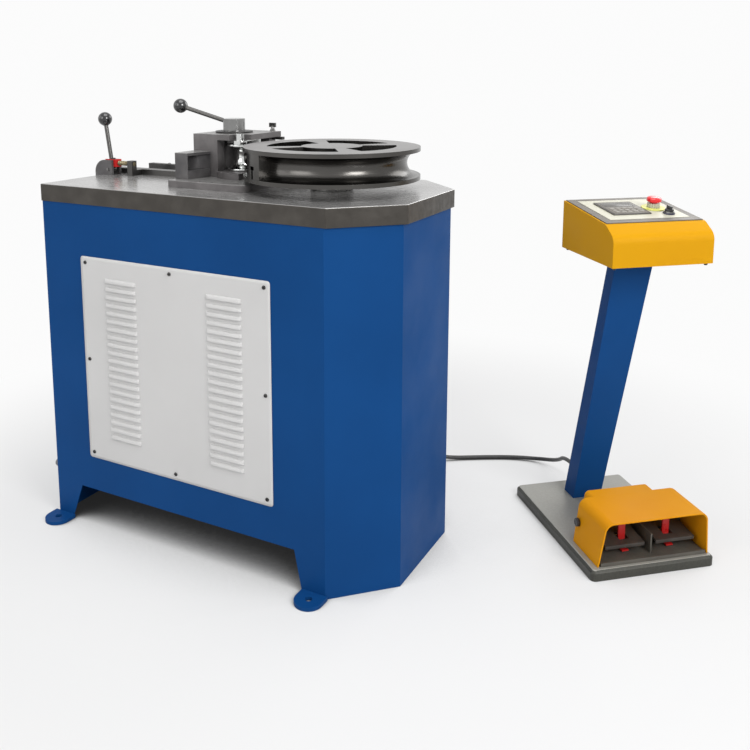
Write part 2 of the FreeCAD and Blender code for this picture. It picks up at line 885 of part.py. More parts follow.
def gear_wire(teeth, module, backlash, turn):
    """The closed outline of an involute spur gear, with arcs for flanks, tips and roots."""
    pitch = teeth * module / 2
    pressure = math.radians(size("pressure_angle"))
    base = pitch * math.cos(pressure)
    tip = pitch + module
    root = pitch - (1 + size("tooth_clearance")) * module
    half_tooth = math.pi / 2 / teeth - backlash / 2 / pitch
    base_half = half_tooth + math.tan(pressure) - pressure
    start = max(base, root + size("flank_start") * module)
    step = math.tau / teeth

    def at(radius, angle):
        return FreeCAD.Vector(radius * math.cos(angle), radius * math.sin(angle), 0)

    edges = []
    for tooth in range(teeth):
        middle = tooth * step + turn
        flank = [involute_point(base, r, base_half) for r in (start, (start + tip) / 2, tip)]
        rising = [at(r, middle - a) for r, a in flank]
        falling = [at(r, middle + a) for r, a in reversed(flank)]
        root_in = at(root, middle - base_half)
        root_out = at(root, middle + base_half)
        next_root = at(root, middle + step - base_half)
        edges.append(Part.LineSegment(root_in, rising[0]).toShape())
        edges.append(Part.Arc(*rising).toShape())
        edges.append(Part.Arc(rising[2], at(tip, middle), falling[0]).toShape())
        edges.append(Part.Arc(*falling).toShape())
        edges.append(Part.LineSegment(falling[2], root_out).toShape())
        edges.append(Part.Arc(root_out, at(root, middle + step / 2), next_root).toShape())
    return Part.Wire(edges)


def gears():
    """Spur wheel on the spindle and the pinion that drives it, in mesh."""
    module = size("gear_module")
    teeth = int(size("gear_teeth"))
    small = int(size("pinion_teeth"))
    low = size("gear_bottom")
    face = size("gear_face")
    middle = size("spindle_x")
    centre_distance = module * (teeth + small) / 2
    backlash = size("tooth_backlash")
    up = FreeCAD.Vector(0, 0, face)

    wheel_wire = gear_wire(teeth, module, backlash, math.pi)
    wheel = Part.Face(wheel_wire).extrude(up)
    rim_inner = module * (teeth / 2 - 1 - size("tooth_clearance")) - size("gear_rim_wall")
    recess = (face - size("gear_web")) / 2
    for level in (0, face - recess):
        pocket = Part.makeCylinder(rim_inner, recess, FreeCAD.Vector(0, 0, level))
        hub = Part.makeCylinder(size("gear_hub_radius"), recess, FreeCAD.Vector(0, 0, level))
        wheel = wheel.cut(pocket.cut(hub))
    wheel = wheel.cut(Part.makeCylinder(size("spindle_radius"), face))
    hole_line = (rim_inner + size("gear_hub_radius")) / 2
    hole_radius = (rim_inner - size("gear_hub_radius")) / 4
    holes = int(size("gear_holes"))
    for turn in range(holes):
        at = FreeCAD.Vector(hole_line * math.cos(math.tau * turn / holes),
                            hole_line * math.sin(math.tau * turn / holes), 0)
        wheel = wheel.cut(Part.makeCylinder(hole_radius, face, at))
    wheel_item = shaped("gear_wheel_body", wheel)
    wheel_item.Placement = FreeCAD.Placement(FreeCAD.Vector(middle, 0, low), FreeCAD.Rotation())
    node("gear_wheel", [wheel_item])

    half_step = math.pi / small
    pinion = Part.Face(gear_wire(small, module, backlash, half_step)).extrude(up)
    shaft_low = size("pinion_shaft_bottom") - low
    shaft = Part.makeCylinder(size("pinion_shaft_radius"), face - shaft_low,
                              FreeCAD.Vector(0, 0, shaft_low))
    pinion_item = shaped("pinion_body", pinion.fuse(shaft))
    pinion_item.Placement = FreeCAD.Placement(
        FreeCAD.Vector(middle - centre_distance, 0, low), FreeCAD.Rotation())
    node("drive_pinion", [pinion_item])


def drive():
    """Spindle, its bearing flange, and the gearmotor that hangs under the worktop."""
    under = "top_surface - top_plate"
    collar_low = "top_surface + running_gap"
    spindle_top = "former_bottom + former_bore_depth - spindle_end_gap"
    shaft = rod("spindle_shaft", "spindle_radius", f"{spindle_top} - spindle_bottom",
                ("spindle_x", "0", "spindle_bottom"))
    collar = rod("spindle_collar", "collar_radius", f"former_bottom - ({collar_low})",
                 ("spindle_x", "0", collar_low))
    node("spindle", [join("spindle_body", [shaft, collar])])

    flange = rod("bearing_plate", "flange_radius", "flange_plate",
                 ("spindle_x", "0", f"{under} - flange_plate"))
    barrel = rod("bearing_barrel", "barrel_radius", "barrel_length",
                 ("spindle_x", "0", f"{under} - barrel_length"))
    spigot = rod("bearing_spigot", "spindle_hole_radius", "top_plate - spigot_gap",
                 ("spindle_x", "0", under))
    bore = rod("bearing_bore", "spindle_radius + running_gap", "barrel_length + top_plate + 2 * overcut",
               ("spindle_x", "0", f"{under} - barrel_length - overcut"))
    bearing = join("bearing_blank", [flange, barrel, spigot])
    node("bearing_flange", [carve("bearing_body", bearing, [bore])])

    motor_x = "spindle_x - gear_module * (gear_teeth + pinion_teeth) / 2"
    plate = block("hanger_deck",
                  (f"{motor_x} - hanger_half_x - hanger_edge", "-hanger_half_y - hanger_edge",
                   "hanger_level"),
                  ("2 * (hanger_half_x + hanger_edge)", "2 * (hanger_half_y + hanger_edge)",
                   "hanger_plate"))
    hanger = [carve("hanger_deck_holed", plate, [
        rod("hanger_hole", "pinion_shaft_radius + hanger_hole_play", "hanger_plate + 2 * overcut",
            (motor_x, "0", "hanger_level - overcut"))])]
    for side_x in ("-", "+"):
        for side_y in ("-", ""):
            hanger.append(rod(f"hanger_post_{len(hanger)}", "hanger_post_radius",
                              f"{under} - hanger_level - hanger_plate",
                              (f"{motor_x} {side_x} hanger_half_x", f"{side_y}hanger_half_y",
                               "hanger_level + hanger_plate")))
    node("motor_hanger", [join("motor_hanger_body", hanger)])

    casing = block("gearbox_casing",
                   (f"{motor_x} - gearbox_width / 2", "-gearbox_width / 2",
                    "hanger_level - gearbox_height"),
                   ("gearbox_width", "gearbox_width", "gearbox_height"))
    seat = rod("gearbox_seat", "pinion_shaft_radius + running_gap",
               "hanger_level - pinion_shaft_bottom + pinion_end_gap + overcut",
               (motor_x, "0", "pinion_shaft_bottom - pinion_end_gap"))
    node("gearbox", [carve("gearbox_body", casing, [seat])])

    flange_low = "hanger_level - gearbox_height - motor_flange_plate"
    motor_low = f"{flange_low} - motor_length"
    cowl_low = f"{motor_low} - cowl_length"
    motor = join("motor_body", [
        rod("motor_flange", "motor_flange_radius", "motor_flange_plate", (motor_x, "0", flange_low)),
        rod("motor_barrel", "motor_radius", "motor_length", (motor_x, "0", motor_low)),
    ])
    cowl = carve("fan_cowl_body",
                 rod("fan_cowl_skin", "motor_radius + cowl_wall", "cowl_length",
                     (motor_x, "0", cowl_low)),
                 [rod("fan_cowl_room", "motor_radius", "cowl_length",
                      (motor_x, "0", f"{cowl_low} + cowl_wall"))])
    node("motor", [motor, cowl])


def former():
    """Grooved bending former with four windows between its spokes, and the pipe hook."""
    middle = "former_bottom + former_height / 2"
    disc = rod("former_disc", "former_radius", "former_height", ("spindle_x", "0", "former_bottom"))
    round_edges_off = ring("former_groove_round", "groove_line_radius", "groove_radius",
                           ("spindle_x", "0", middle))
    straight = carve("former_groove_straight",
                     rod("former_groove_outer", "former_radius + overcut", "2 * groove_radius",
                         ("spindle_x", "0", f"{middle} - groove_radius")),
                     [rod("former_groove_inner", "groove_line_radius", "2 * groove_radius",
                          ("spindle_x", "0", f"{middle} - groove_radius"))])
    hollow = carve("former_hollow",
                   rod("former_hollow_outer", "former_rim_inner", "former_height - former_web + overcut",
                       ("spindle_x", "0", "former_bottom - overcut")),
                   [rod("former_hollow_hub", "former_barrel_radius", "former_height - former_web + overcut",
                        ("spindle_x", "0", "former_bottom - overcut"))])
    windows = []
    for quarter in range(4):
        opening = rod(f"former_window_{quarter}", "former_rim_inner", "former_web + 2 * overcut",
                      ("spindle_x", "0", "former_bottom + former_height - former_web - overcut"))
        bind(opening, "Angle", "2 * window_half_angle")
        turn = FreeCAD.Rotation(UP, 90 * quarter - size("window_half_angle"))
        place(opening, ("spindle_x", "0", "former_bottom + former_height - former_web - overcut"), turn)
        windows.append(opening)
    window_ring = carve("former_windows", join("former_window_sectors", windows), [
        rod("former_window_hub", "former_hub_radius", "former_web + 4 * overcut",
            ("spindle_x", "0", "former_bottom + former_height - former_web - 2 * overcut"))])
    bore = rod("former_bore", "spindle_radius", "former_bore_depth + overcut",
               ("spindle_x", "0", "former_bottom - overcut"))
    body = carve("former_body", disc, [round_edges_off, straight, hollow, window_ring, bore])
    node("former", [body])

    sector = rod("hook_sector", "former_radius - hook_set_back",
                 "2 * groove_radius - 2 * hook_gap",
                 ("spindle_x", "0", f"{middle} - groove_radius + hook_gap"))
    bind(sector, "Angle", "2 * hook_half_angle")
    turn = FreeCAD.Rotation(UP, size("hook_angle") - size("hook_half_angle"))
    place(sector, ("spindle_x", "0", f"{middle} - groove_radius + hook_gap"), turn)
    bead = common("hook_round", ring("hook_ring", "groove_line_radius", "groove_radius - hook_gap",
                                     ("spindle_x", "0", middle)), sector)
    outer = carve("hook_outer", sector, [rod("hook_inner", "groove_line_radius",
                                             "2 * groove_radius + 2 * overcut",
                                             ("spindle_x", "0", f"{middle} - groove_radius - overcut"))])
    hook = join("hook_blank", [bead, outer])
    slot_at = ("spindle_x + (groove_line_radius - hook_slot_inset) * cos(hook_angle)",
               "(groove_line_radius - hook_slot_inset) * sin(hook_angle)", middle)
    heading = FreeCAD.Rotation(UP, size("hook_angle"))
    stem = block("hook_slot_stem_cut", ("0", "-hook_slot_stem / 2", "-groove_radius"),
                 ("hook_slot_length", "hook_slot_stem", "groove_radius"))
    head = block("hook_slot_head_cut",
                 ("hook_slot_head_start", "-hook_slot_head / 2", "-hook_slot_head_drop"),
                 ("hook_slot_length", "hook_slot_head", "hook_slot_head_drop + hook_slot_head_rise"))
    slot = place(join("hook_slot", [stem, head]), slot_at, heading)
    node("pipe_hook", [carve("pipe_hook_body", hook, [slot])])


def carriage():
    """Sliding base, its key in the worktop, the post, the housing and its cap."""
    low = "top_surface"
    deck = "top_surface + base_plate"
    base = prism("slide_base_plan", "XY_Plane", [
        ("-base_left", "-base_front"), ("base_right", "-base_front"),
        ("base_right", "base_rear"), ("-base_left", "base_rear")], "base_plate", low)
    corner_x = size("base_right")
    corner_y = -size("base_front")
    round_edges(base, "slide_base_corner", "base_corner_radius",
                lambda edge: is_along(edge, "Z") and abs(edge.Vertexes[0].X - corner_x) < 0.1
                and abs(edge.Vertexes[0].Y - corner_y) < 0.1)
    round_edges(base, "slide_base_break", "edge_break",
                lambda edge: edge.BoundBox.ZMin > size("top_surface") + size("base_plate") - 0.1,
                "Chamfer")
    pad = rod("roller_pad_disc", "pad_radius", "pad_plate", ("pad_x", "0", deck))
    pad_plan = block("roller_pad_plan", ("-housing_wall_right", "-pad_radius", f"{deck} - overcut"),
                     ("housing_wall_right + pad_right", "pad_radius + housing_rear - housing_back_wall",
                      "pad_plate + 2 * overcut"))
    axle_slot_low = f"{deck} - axle_seat_depth - axle_end_gap"
    axle_slot_depth = "pad_plate + axle_seat_depth + axle_end_gap + 2 * overcut"
    slot_radius = "axle_radius + running_gap"
    axle_slot = join("axle_slot", [
        rod("axle_slot_near", slot_radius, axle_slot_depth, ("roller_x", "0", axle_slot_low)),
        rod("axle_slot_far", slot_radius, axle_slot_depth,
            ("roller_x - yoke_travel", "0", axle_slot_low)),
        block("axle_slot_mid", ("roller_x - yoke_travel", f"-({slot_radius})", axle_slot_low),
              ("yoke_travel", f"2 * ({slot_radius})", axle_slot_depth)),
    ])
    node("slide_base", [carve("slide_base_body", base, [axle_slot])])
    node("roller_pad", [carve("roller_pad_body", common("roller_pad_trimmed", pad, pad_plan),
                              [axle_slot])])

    neck = block("slide_key_neck",
                 ("-key_half_length", "-key_slot_width / 2 + running_gap",
                  "top_surface - top_plate - running_gap"),
                 ("2 * key_half_length", "key_slot_width - 2 * running_gap",
                  "top_plate + running_gap"))
    keeper = block("slide_key_keeper",
                   ("-key_half_length", "-keeper_half_width",
                    "top_surface - top_plate - running_gap - keeper_plate"),
                   ("2 * key_half_length", "2 * keeper_half_width", "keeper_plate"))
    node("slide_key", [join("slide_key_body", [neck, keeper])])

    post = prism("post_plan", "XY_Plane", [
        ("-base_left", "-post_front"), ("-post_neck_right", "-post_front"),
        ("-post_wall_right", "-housing_front"), ("-base_left", "-housing_front")], "post_height", deck)
    scoop = rod("post_scoop", "post_scoop_radius", "post_height - post_slab - post_foot",
                ("-post_wall_right", "-(post_front + housing_front) / 2", f"{deck} + post_foot"))
    node("post_block", [carve("post_block_body", post, [scoop])])

    walls = prism("housing_walls", "XY_Plane", [
        ("-base_left", "-housing_front"),
        ("-housing_wall_right", "-housing_front"),
        ("-housing_wall_right", "housing_rear - housing_back_wall"),
        ("back_wall_right", "housing_rear - housing_back_wall"),
        ("back_wall_right", "housing_rear"),
        ("-base_left", "housing_rear")], f"cap_top - cap_plate - ({deck})", deck)
    yoke_low = "cap_top - cap_plate - yoke_plate - 2 * running_gap"
    yoke_room = block("housing_yoke_room",
                      ("-yoke_left - yoke_travel - yoke_end_gap",
                       "yoke_middle_y - yoke_half_width - running_gap", yoke_low),
                      ("base_left", "2 * (yoke_half_width + running_gap)", "yoke_plate + 2 * overcut"))
    stop_groove = block("housing_stop_groove",
                        ("stop_bar_left - stop_travel_in - stop_end_gap",
                         "stop_bar_y - stop_bar_half_width - running_gap",
                         "cap_top - cap_plate - stop_bar_plate - 2 * running_gap"),
                        ("housing_right", "2 * (stop_bar_half_width + running_gap)",
                         "stop_bar_plate + 2 * overcut"))
    cam_room = rod("housing_cam_room", "cam_radius + cam_throw + cam_room_play", "2 * cam_room_depth",
                   ("-clamp_x", "clamp_y", f"{yoke_low} - cam_room_depth"))
    roller_room = []
    for name, x in (("near", "roller_x"), ("far", "roller_x - yoke_travel")):
        roller_room.append(rod(f"housing_roller_room_{name}", "roller_radius + roller_clearance",
                               f"cap_top - cap_plate - ({deck}) - pad_plate + overcut",
                               (x, "0", f"{deck} + pad_plate")))
    node("housing_body", [carve("housing_body_shape", walls,
                                [yoke_room, stop_groove, cam_room] + roller_room)])

    cap = block("cap_blank", ("-base_left", "-housing_front", "cap_top - cap_plate"),
                ("base_left + housing_right", "housing_front + housing_rear", "cap_plate"))
    cap_notch = block("cap_notch",
                      ("notch_left", "-housing_front - overcut", "cap_top - cap_plate - overcut"),
                      ("housing_right", "notch_depth + overcut", "cap_plate + 2 * overcut"))
    cap_stem = rod("cap_stem_hole", "clamp_stem_radius + running_gap", "cap_plate + 2 * overcut",
                   ("-clamp_x", "clamp_y", "cap_top - cap_plate - overcut"))
    cap_screw = rod("cap_screw_hole", "stop_screw_radius + running_gap", "cap_plate + 2 * overcut",
                    ("stop_screw_x", "stop_bar_y", "cap_top - cap_plate - overcut"))
    node("housing_cap", [carve("cap_shape", cap, [cap_notch, cap_stem, cap_screw])])


def roller_group():
    """Grooved counter-roller on its axle, carried by a sliding yoke under the cap."""
    yoke_low = "cap_top - cap_plate - running_gap - yoke_plate"
    plate = block("yoke_plate_blank", ("-yoke_left", "yoke_middle_y - yoke_half_width", yoke_low),
                  ("yoke_left + yoke_right", "2 * yoke_half_width", "yoke_plate"))
    boss = rod("yoke_column_foot", "yoke_column_radius + yoke_boss_wall", "yoke_plate",
               ("yoke_column_x", "-yoke_column_y", yoke_low))
    arm = block("yoke_column_arm", ("yoke_column_x - yoke_column_radius", "-yoke_column_y", yoke_low),
                ("2 * yoke_column_radius", "yoke_column_y - yoke_half_width + yoke_middle_y + overlap",
                 "yoke_plate"))
    column = rod("yoke_column", "yoke_column_radius", "cap_plate + yoke_plate + yoke_column_rise",
                 ("yoke_column_x", "-yoke_column_y", yoke_low))
    slot_radius = "cam_radius + cam_play"
    slot_x = "-clamp_x + cam_throw * sin(cam_heading)"
    slot_front = "clamp_y + cam_throw * cos(cam_heading) - cam_slot_play"
    slot_back = "clamp_y + cam_throw + cam_slot_play"
    slot_low = f"{yoke_low} - overcut"
    slot_height = "yoke_plate + 2 * overcut"
    cam_slot = join("yoke_cam_slot", [
        rod("yoke_cam_slot_front", slot_radius, slot_height, (slot_x, slot_front, slot_low)),
        rod("yoke_cam_slot_back", slot_radius, slot_height, (slot_x, slot_back, slot_low)),
        block("yoke_cam_slot_mid", (f"{slot_x} - ({slot_radius})", slot_front, slot_low),
              (f"2 * ({slot_radius})", f"{slot_back} - ({slot_front})", slot_height)),
    ])
    axle_hole = rod("yoke_axle_hole", "axle_radius", "yoke_plate + 2 * overcut",
                    ("roller_x", "0", f"{yoke_low} - overcut"))
    node("roller_yoke", [carve("yoke_shape", join("yoke_blank", [plate, boss, arm, column]),
                               [cam_slot, axle_hole])])

    axle_low = "top_surface + base_plate - axle_seat_depth"
    roller_low = "roller_middle - roller_height / 2"
    collar_low = "top_surface + base_plate + pad_plate + running_gap"
    pin = rod("roller_axle_pin", "axle_radius", f"cap_top - cap_plate - axle_end_gap - ({axle_low})",
              ("roller_x", "0", axle_low))
    collar = rod("roller_axle_collar", "axle_collar_radius",
                 f"{roller_low} - running_gap - ({collar_low})", ("roller_x", "0", collar_low))
    node("roller_axle", [join("roller_axle_body", [pin, collar])])

    groove_line = "roller_waist + groove_radius"
    barrel = rod("roller_barrel", "roller_radius", "roller_height", ("roller_x", "0", roller_low))
    groove = ring("roller_groove", groove_line, "groove_radius", ("roller_x", "0", "roller_middle"))
    bore = rod("roller_bore", "axle_radius + running_gap", "roller_height + 2 * overcut",
               ("roller_x", "0", f"{roller_low} - overcut"))
    node("counter_roller", [carve("counter_roller_body", barrel, [groove, bore])])


def clamp_lever():
    """Eccentric stem with hub, washer, inclined rod and ball; it shifts the yoke."""
    hub_low = "cap_top + clamp_washer_plate"
    washer = rod("clamp_washer_disc", "clamp_washer_radius", "clamp_washer_plate",
                 ("-clamp_x", "clamp_y", "cap_top"))
    washer_hole = rod("clamp_washer_hole", "clamp_stem_radius", "clamp_washer_plate + 2 * overcut",
                      ("-clamp_x", "clamp_y", "cap_top - overcut"))
    node("clamp_washer", [carve("clamp_washer_shape", washer, [washer_hole])])

    hub = rod("clamp_hub_barrel", "clamp_hub_radius", "clamp_hub_height",
              ("-clamp_x", "clamp_y", hub_low))
    stem_low = "cap_top - cap_plate"
    stem = rod("clamp_stem", "clamp_stem_radius", f"{hub_low} - ({stem_low})",
               ("-clamp_x", "clamp_y", stem_low))
    cam_height = "yoke_plate + cam_tail"
    cam = rod("clamp_cam", "cam_radius", cam_height,
              ("-clamp_x + cam_throw * sin(cam_heading)", "clamp_y + cam_throw * cos(cam_heading)",
               f"{stem_low} - ({cam_height})"))
    heading = math.radians(size("clamp_rod_heading"))
    rise = math.radians(size("clamp_rod_rise"))
    direction = FreeCAD.Vector(math.cos(heading) * math.cos(rise),
                               math.sin(heading) * math.cos(rise), math.sin(rise))
    tilt = FreeCAD.Rotation(UP, direction)
    root_z = f"{hub_low} + clamp_rod_level"
    run = {
        "x": "cos(clamp_rod_heading) * cos(clamp_rod_rise)",
        "y": "sin(clamp_rod_heading) * cos(clamp_rod_rise)",
        "z": "sin(clamp_rod_rise)",
    }

    def along(distance):
        return (f"-clamp_x + ({distance}) * {run['x']}", f"clamp_y + ({distance}) * {run['y']}",
                f"{root_z} + ({distance}) * {run['z']}")

    rod_start = along("clamp_hub_radius - clamp_rod_seat")
    socket = rod("clamp_hub_socket", "clamp_rod_radius", "clamp_hub_radius", rod_start, rotation=tilt)
    node("clamp_hub", [carve("clamp_hub_shape", join("clamp_hub_blank", [hub, stem, cam]), [socket])])
    ball_at = "clamp_hub_radius + clamp_rod_length + knob_radius - knob_seat"
    node("clamp_rod", [rod("clamp_rod_bar", "clamp_rod_radius", "clamp_rod_length + clamp_rod_seat",
                           rod_start, rotation=tilt)])
    knob = ball("clamp_knob_ball", "knob_radius", along(ball_at))
    knob_bore = rod("clamp_knob_bore", "clamp_rod_radius", "knob_seat + knob_bore_gap",
                    along("clamp_hub_radius + clamp_rod_length - knob_seat - knob_bore_gap"), rotation=tilt)
    node("clamp_knob", [carve("clamp_knob_shape", knob, [knob_bore])])


def pipe_stop():
    """Flat stop bar in a groove under the cap and the wing screw that holds it."""
    bar_low = "cap_top - cap_plate - running_gap - stop_bar_plate"
    bar = block("stop_bar_blank", ("stop_bar_left", "stop_bar_y - stop_bar_half_width", bar_low),
                ("stop_bar_right - stop_bar_left", "2 * stop_bar_half_width", "stop_bar_plate"))
    slot = block("stop_bar_slot",
                 ("stop_screw_x - stop_screw_radius - stop_slot_run",
                  "stop_bar_y - stop_screw_radius - stop_slot_play", f"{bar_low} - overcut"),
                 ("2 * (stop_screw_radius + stop_slot_run)",
                  "2 * (stop_screw_radius + stop_slot_play)", "stop_bar_plate + 2 * overcut"))
    node("stop_bar", [carve("stop_bar_shape", bar, [slot])])
    stem_low = f"{bar_low} + stop_stem_gap"
    stem = rod("stop_screw_stem", "stop_screw_radius", f"stop_screw_top - stop_stem_drop - ({stem_low})",
               ("stop_screw_x", "stop_bar_y", stem_low))
    boss = cone("stop_screw_boss", "stop_boss_radius", "stop_screw_radius", "stop_boss_height",
                ("stop_screw_x", "stop_bar_y", "cap_top + running_gap"))
    wing = block("stop_screw_wing",
                 ("stop_screw_x - stop_wing_half", "stop_bar_y - stop_wing_plate / 2",
                  "stop_screw_top - stop_wing_height"),
                 ("2 * stop_wing_half", "stop_wing_plate", "stop_wing_height"))
    node("stop_screw", [join("stop_screw_body", [stem, boss, wing])])


def feed():
    """Guide rail, push bar, screw rod, clevis, and the upright feed lever in its bracket."""
    low = "top_surface"
    rail = block("guide_rail_bar", ("-rail_left", "rail_front", low),
                 ("rail_left + rail_right", "rail_rear - rail_front", "rail_height"))
    node("guide_rail", [rail])
    screws = []
    for step in range(int(size("rail_screw_count"))):
        x = f"-rail_left + (rail_left + rail_right) * {2 * step + 1} / (2 * rail_screw_count)"
        screws.append(rod(f"rail_screw_{step}", "rail_screw_radius", "rail_screw_height",
                          (x, "(rail_front + rail_rear) / 2", "top_surface + rail_height")))
    node("rail_screws", screws)

    bar = block("push_bar_flat", ("-top_left", "bar_front", low),
                ("top_left - base_left", "bar_rear - bar_front", "bar_height"))
    foot = block("push_bar_foot", ("-ear_right - ear_plate", "-feed_y - ear_half_width", low),
                 ("ear_plate", "feed_y + ear_half_width + bar_front + overlap", "bar_height"))
    ear = block("push_bar_ear", ("-ear_right - ear_plate", "-feed_y - ear_half_width", low),
                ("ear_plate", "2 * ear_half_width", "ear_top - top_surface"))
    ear_hole = rod("push_bar_hole", "feed_rod_radius", "ear_plate + 2 * overcut",
                   ("-ear_right - ear_plate - overcut", "-feed_y", "feed_pin_z"), "X")
    node("push_bar", [carve("push_bar_body", join("push_bar_blank", [bar, foot, ear]), [ear_hole])])
    node("feed_rod", [rod("feed_rod_bar", "feed_rod_radius", "clevis_right - ear_right",
                          ("-clevis_right", "-feed_y", "feed_pin_z"), "X")])

    clevis = block("clevis_blank",
                   ("-clevis_left", "-feed_y - clevis_half_width", "feed_pin_z - clevis_height / 2"),
                   ("clevis_left - clevis_right", "2 * clevis_half_width", "clevis_height"))
    clevis_slot = block("clevis_slot",
                        ("-clevis_left - overcut", "-feed_y - lever_plate / 2 - clevis_play",
                         "feed_pin_z - clevis_height / 2 - overcut"),
                        ("clevis_left - clevis_right + overcut - clevis_web", "lever_plate + 2 * clevis_play",
                         "clevis_height + 2 * overcut"))
    pin = rod("clevis_pin", "pin_radius", "2 * clevis_half_width",
              ("-pivot_x + pin_offset", "-feed_y - clevis_half_width", "feed_pin_z"), "Y")
    node("feed_clevis", [join("clevis_body", [carve("clevis_forked", clevis, [clevis_slot]), pin])])

    plate_low = "-feed_y - lever_plate / 2"
    hub = rod("lever_hub_disc", "lever_hub_radius", "lever_plate", ("-pivot_x", plate_low, "pivot_z"), "Y")
    eye = rod("lever_eye_disc", "lever_eye_radius", "lever_plate",
              ("-pivot_x + pin_offset", plate_low, "feed_pin_z"), "Y")
    web = block("lever_web", ("-pivot_x - lever_web_half", plate_low, "pivot_z"),
                ("2 * lever_web_half", "lever_plate", "lever_arm + lever_web_rise"))
    lean = math.radians(size("lever_lean"))
    tilt = FreeCAD.Rotation(UP, FreeCAD.Vector(-math.sin(lean), 0, math.cos(lean)))
    shaft = rod("lever_shaft", "lever_rod_radius",
                "lever_ball_height - lever_shaft_start - knob_radius + knob_seat",
                ("-pivot_x - lever_shaft_start * sin(lever_lean)", "-feed_y",
                 "pivot_z + lever_shaft_start * cos(lever_lean)"), rotation=tilt)
    pivot_hole = rod("lever_pivot_hole", "pin_radius + running_gap", "lever_plate + 2 * overcut",
                     ("-pivot_x", f"{plate_low} - overcut", "pivot_z"), "Y")
    pin_hole = rod("lever_pin_hole", "pin_radius + pin_play", "lever_plate + 2 * overcut",
                   ("-pivot_x + pin_offset", f"{plate_low} - overcut", "feed_pin_z"), "Y")
    node("feed_lever", [carve("feed_lever_body", join("feed_lever_blank", [hub, eye, web, shaft]),
                              [pivot_hole, pin_hole])])
    knob = ball("feed_knob_ball", "knob_radius",
                ("-pivot_x - lever_ball_height * sin(lever_lean)", "-feed_y",
                 "pivot_z + lever_ball_height * cos(lever_lean)"))
    bore_from = "lever_ball_height - knob_radius - knob_bore_gap"
    knob_bore = rod("feed_knob_bore", "lever_rod_radius", "knob_seat + knob_bore_gap",
                    (f"-pivot_x - ({bore_from}) * sin(lever_lean)", "-feed_y",
                     f"pivot_z + ({bore_from}) * cos(lever_lean)"), rotation=tilt)
    node("feed_knob", [carve("feed_knob_shape", knob, [knob_bore])])

    cheeks = []
    for side, at in (("front", "-feed_y - bracket_half_width"),
                     ("rear", "-feed_y + bracket_half_width - bracket_cheek")):
        square = block(f"bracket_{side}_square", ("-bracket_left", at, low),
                       ("bracket_left - bracket_right", "bracket_cheek", "bracket_top - top_surface"))
        corner = block(f"bracket_{side}_corner",
                       ("-bracket_left - overcut", f"{at} - overcut", "bracket_top - bracket_radius"),
                       ("bracket_radius + overcut", "bracket_cheek + 2 * overcut",
                        "bracket_radius + overcut"))
        curve = rod(f"bracket_{side}_curve", "bracket_radius", "bracket_cheek + 4 * overcut",
                    ("-bracket_left + bracket_radius", f"{at} - 2 * overcut",
                     "bracket_top - bracket_radius"), "Y")
        cheeks.append(carve(f"bracket_{side}", square,
                            [carve(f"bracket_{side}_scrap", corner, [curve])]))
    bridge = block("bracket_bridge",
                   ("-bracket_left", "-feed_y - bracket_half_width", low),
                   ("bracket_left - top_left + bracket_bridge_lap", "2 * bracket_half_width",
                    "bracket_bridge_plate"))
    hook = block("bracket_hook",
                 ("-bracket_left", "-feed_y - bracket_half_width", "top_surface - bracket_hook_drop"),
                 ("bracket_left - top_left", "2 * bracket_half_width", "bracket_hook_drop"))
    holes = rod("bracket_pin_hole", "pin_radius", "2 * bracket_half_width + 2 * overcut",
                ("-pivot_x", "-feed_y - bracket_half_width - overcut", "pivot_z"), "Y")
    relief = rod("bracket_relief", "lever_hub_radius + bracket_relief_play",
                 "lever_plate + 2 * bracket_relief_side",
                 ("-pivot_x", "-feed_y - lever_plate / 2 - bracket_relief_side", "pivot_z"), "Y")
    node("lever_bracket", [carve("lever_bracket_body", join("bracket_blank", cheeks + [bridge, hook]),
                                 [holes, relief])])
    node("lever_pin", [rod("lever_pin_rod", "pin_radius", "2 * (bracket_half_width + lever_pin_tail)",
                           ("-pivot_x", "-feed_y - bracket_half_width - lever_pin_tail", "pivot_z"),
                           "Y")])


worktop()
cabinet()
foot_lugs()
louvre_panel()
panel_screws()
glands()
gears()
drive()
former()
carriage()
roller_group()
clamp_lever()
pipe_stop()
feed()


BOX_TILT = math.degrees(math.atan2(size("box_back_height") - size("box_brow_height"),
                                   size("box_depth") - size("box_brow")))
TILT_TEXT = "atan((box_back_height - box_brow_height) / (box_depth - box_brow))"
BROW_TEXT = "atan((box_brow_height - box_front_height) / box_brow)"


def on_panel(across, along, height):
    """A point over the sloping top of the control box, as three expressions."""
    return (str(across),
            f"box_front + box_brow + ({along}) * cos({TILT_TEXT}) - ({height}) * sin({TILT_TEXT})",
            f"box_bottom + box_brow_height + ({along}) * sin({TILT_TEXT})"
            f" + ({height}) * cos({TILT_TEXT})")


TILTED = FreeCAD.Rotation(ALONG["X"], BOX_TILT)
SQUARE_TO_PANEL = FreeCAD.Rotation(UP, TILTED.multVec(UP))


def panel_rod(name, radius, length, across, along, height):
    return rod(name, radius, length, on_panel(across, along, height), rotation=SQUARE_TO_PANEL)


def switch_holes(tag, low, length):
    """Holes for the stop button, the selector and the display, square to the panel."""
    window = block(tag + "_display_hole",
                   on_panel("display_x - display_half_width + bezel_lap - running_gap",
                            "display_along - display_half_length + bezel_lap - running_gap", low),
                   ("2 * (display_half_width - bezel_lap + running_gap)",
                    "2 * (display_half_length - bezel_lap + running_gap)", length), TILTED)
    return [
        panel_rod(tag + "_estop_hole", "switch_body_radius", length, "estop_x", "estop_along", low),
        panel_rod(tag + "_selector_hole", "switch_body_radius", length, "selector_x",
                  "selector_along", low),
        window,
    ]


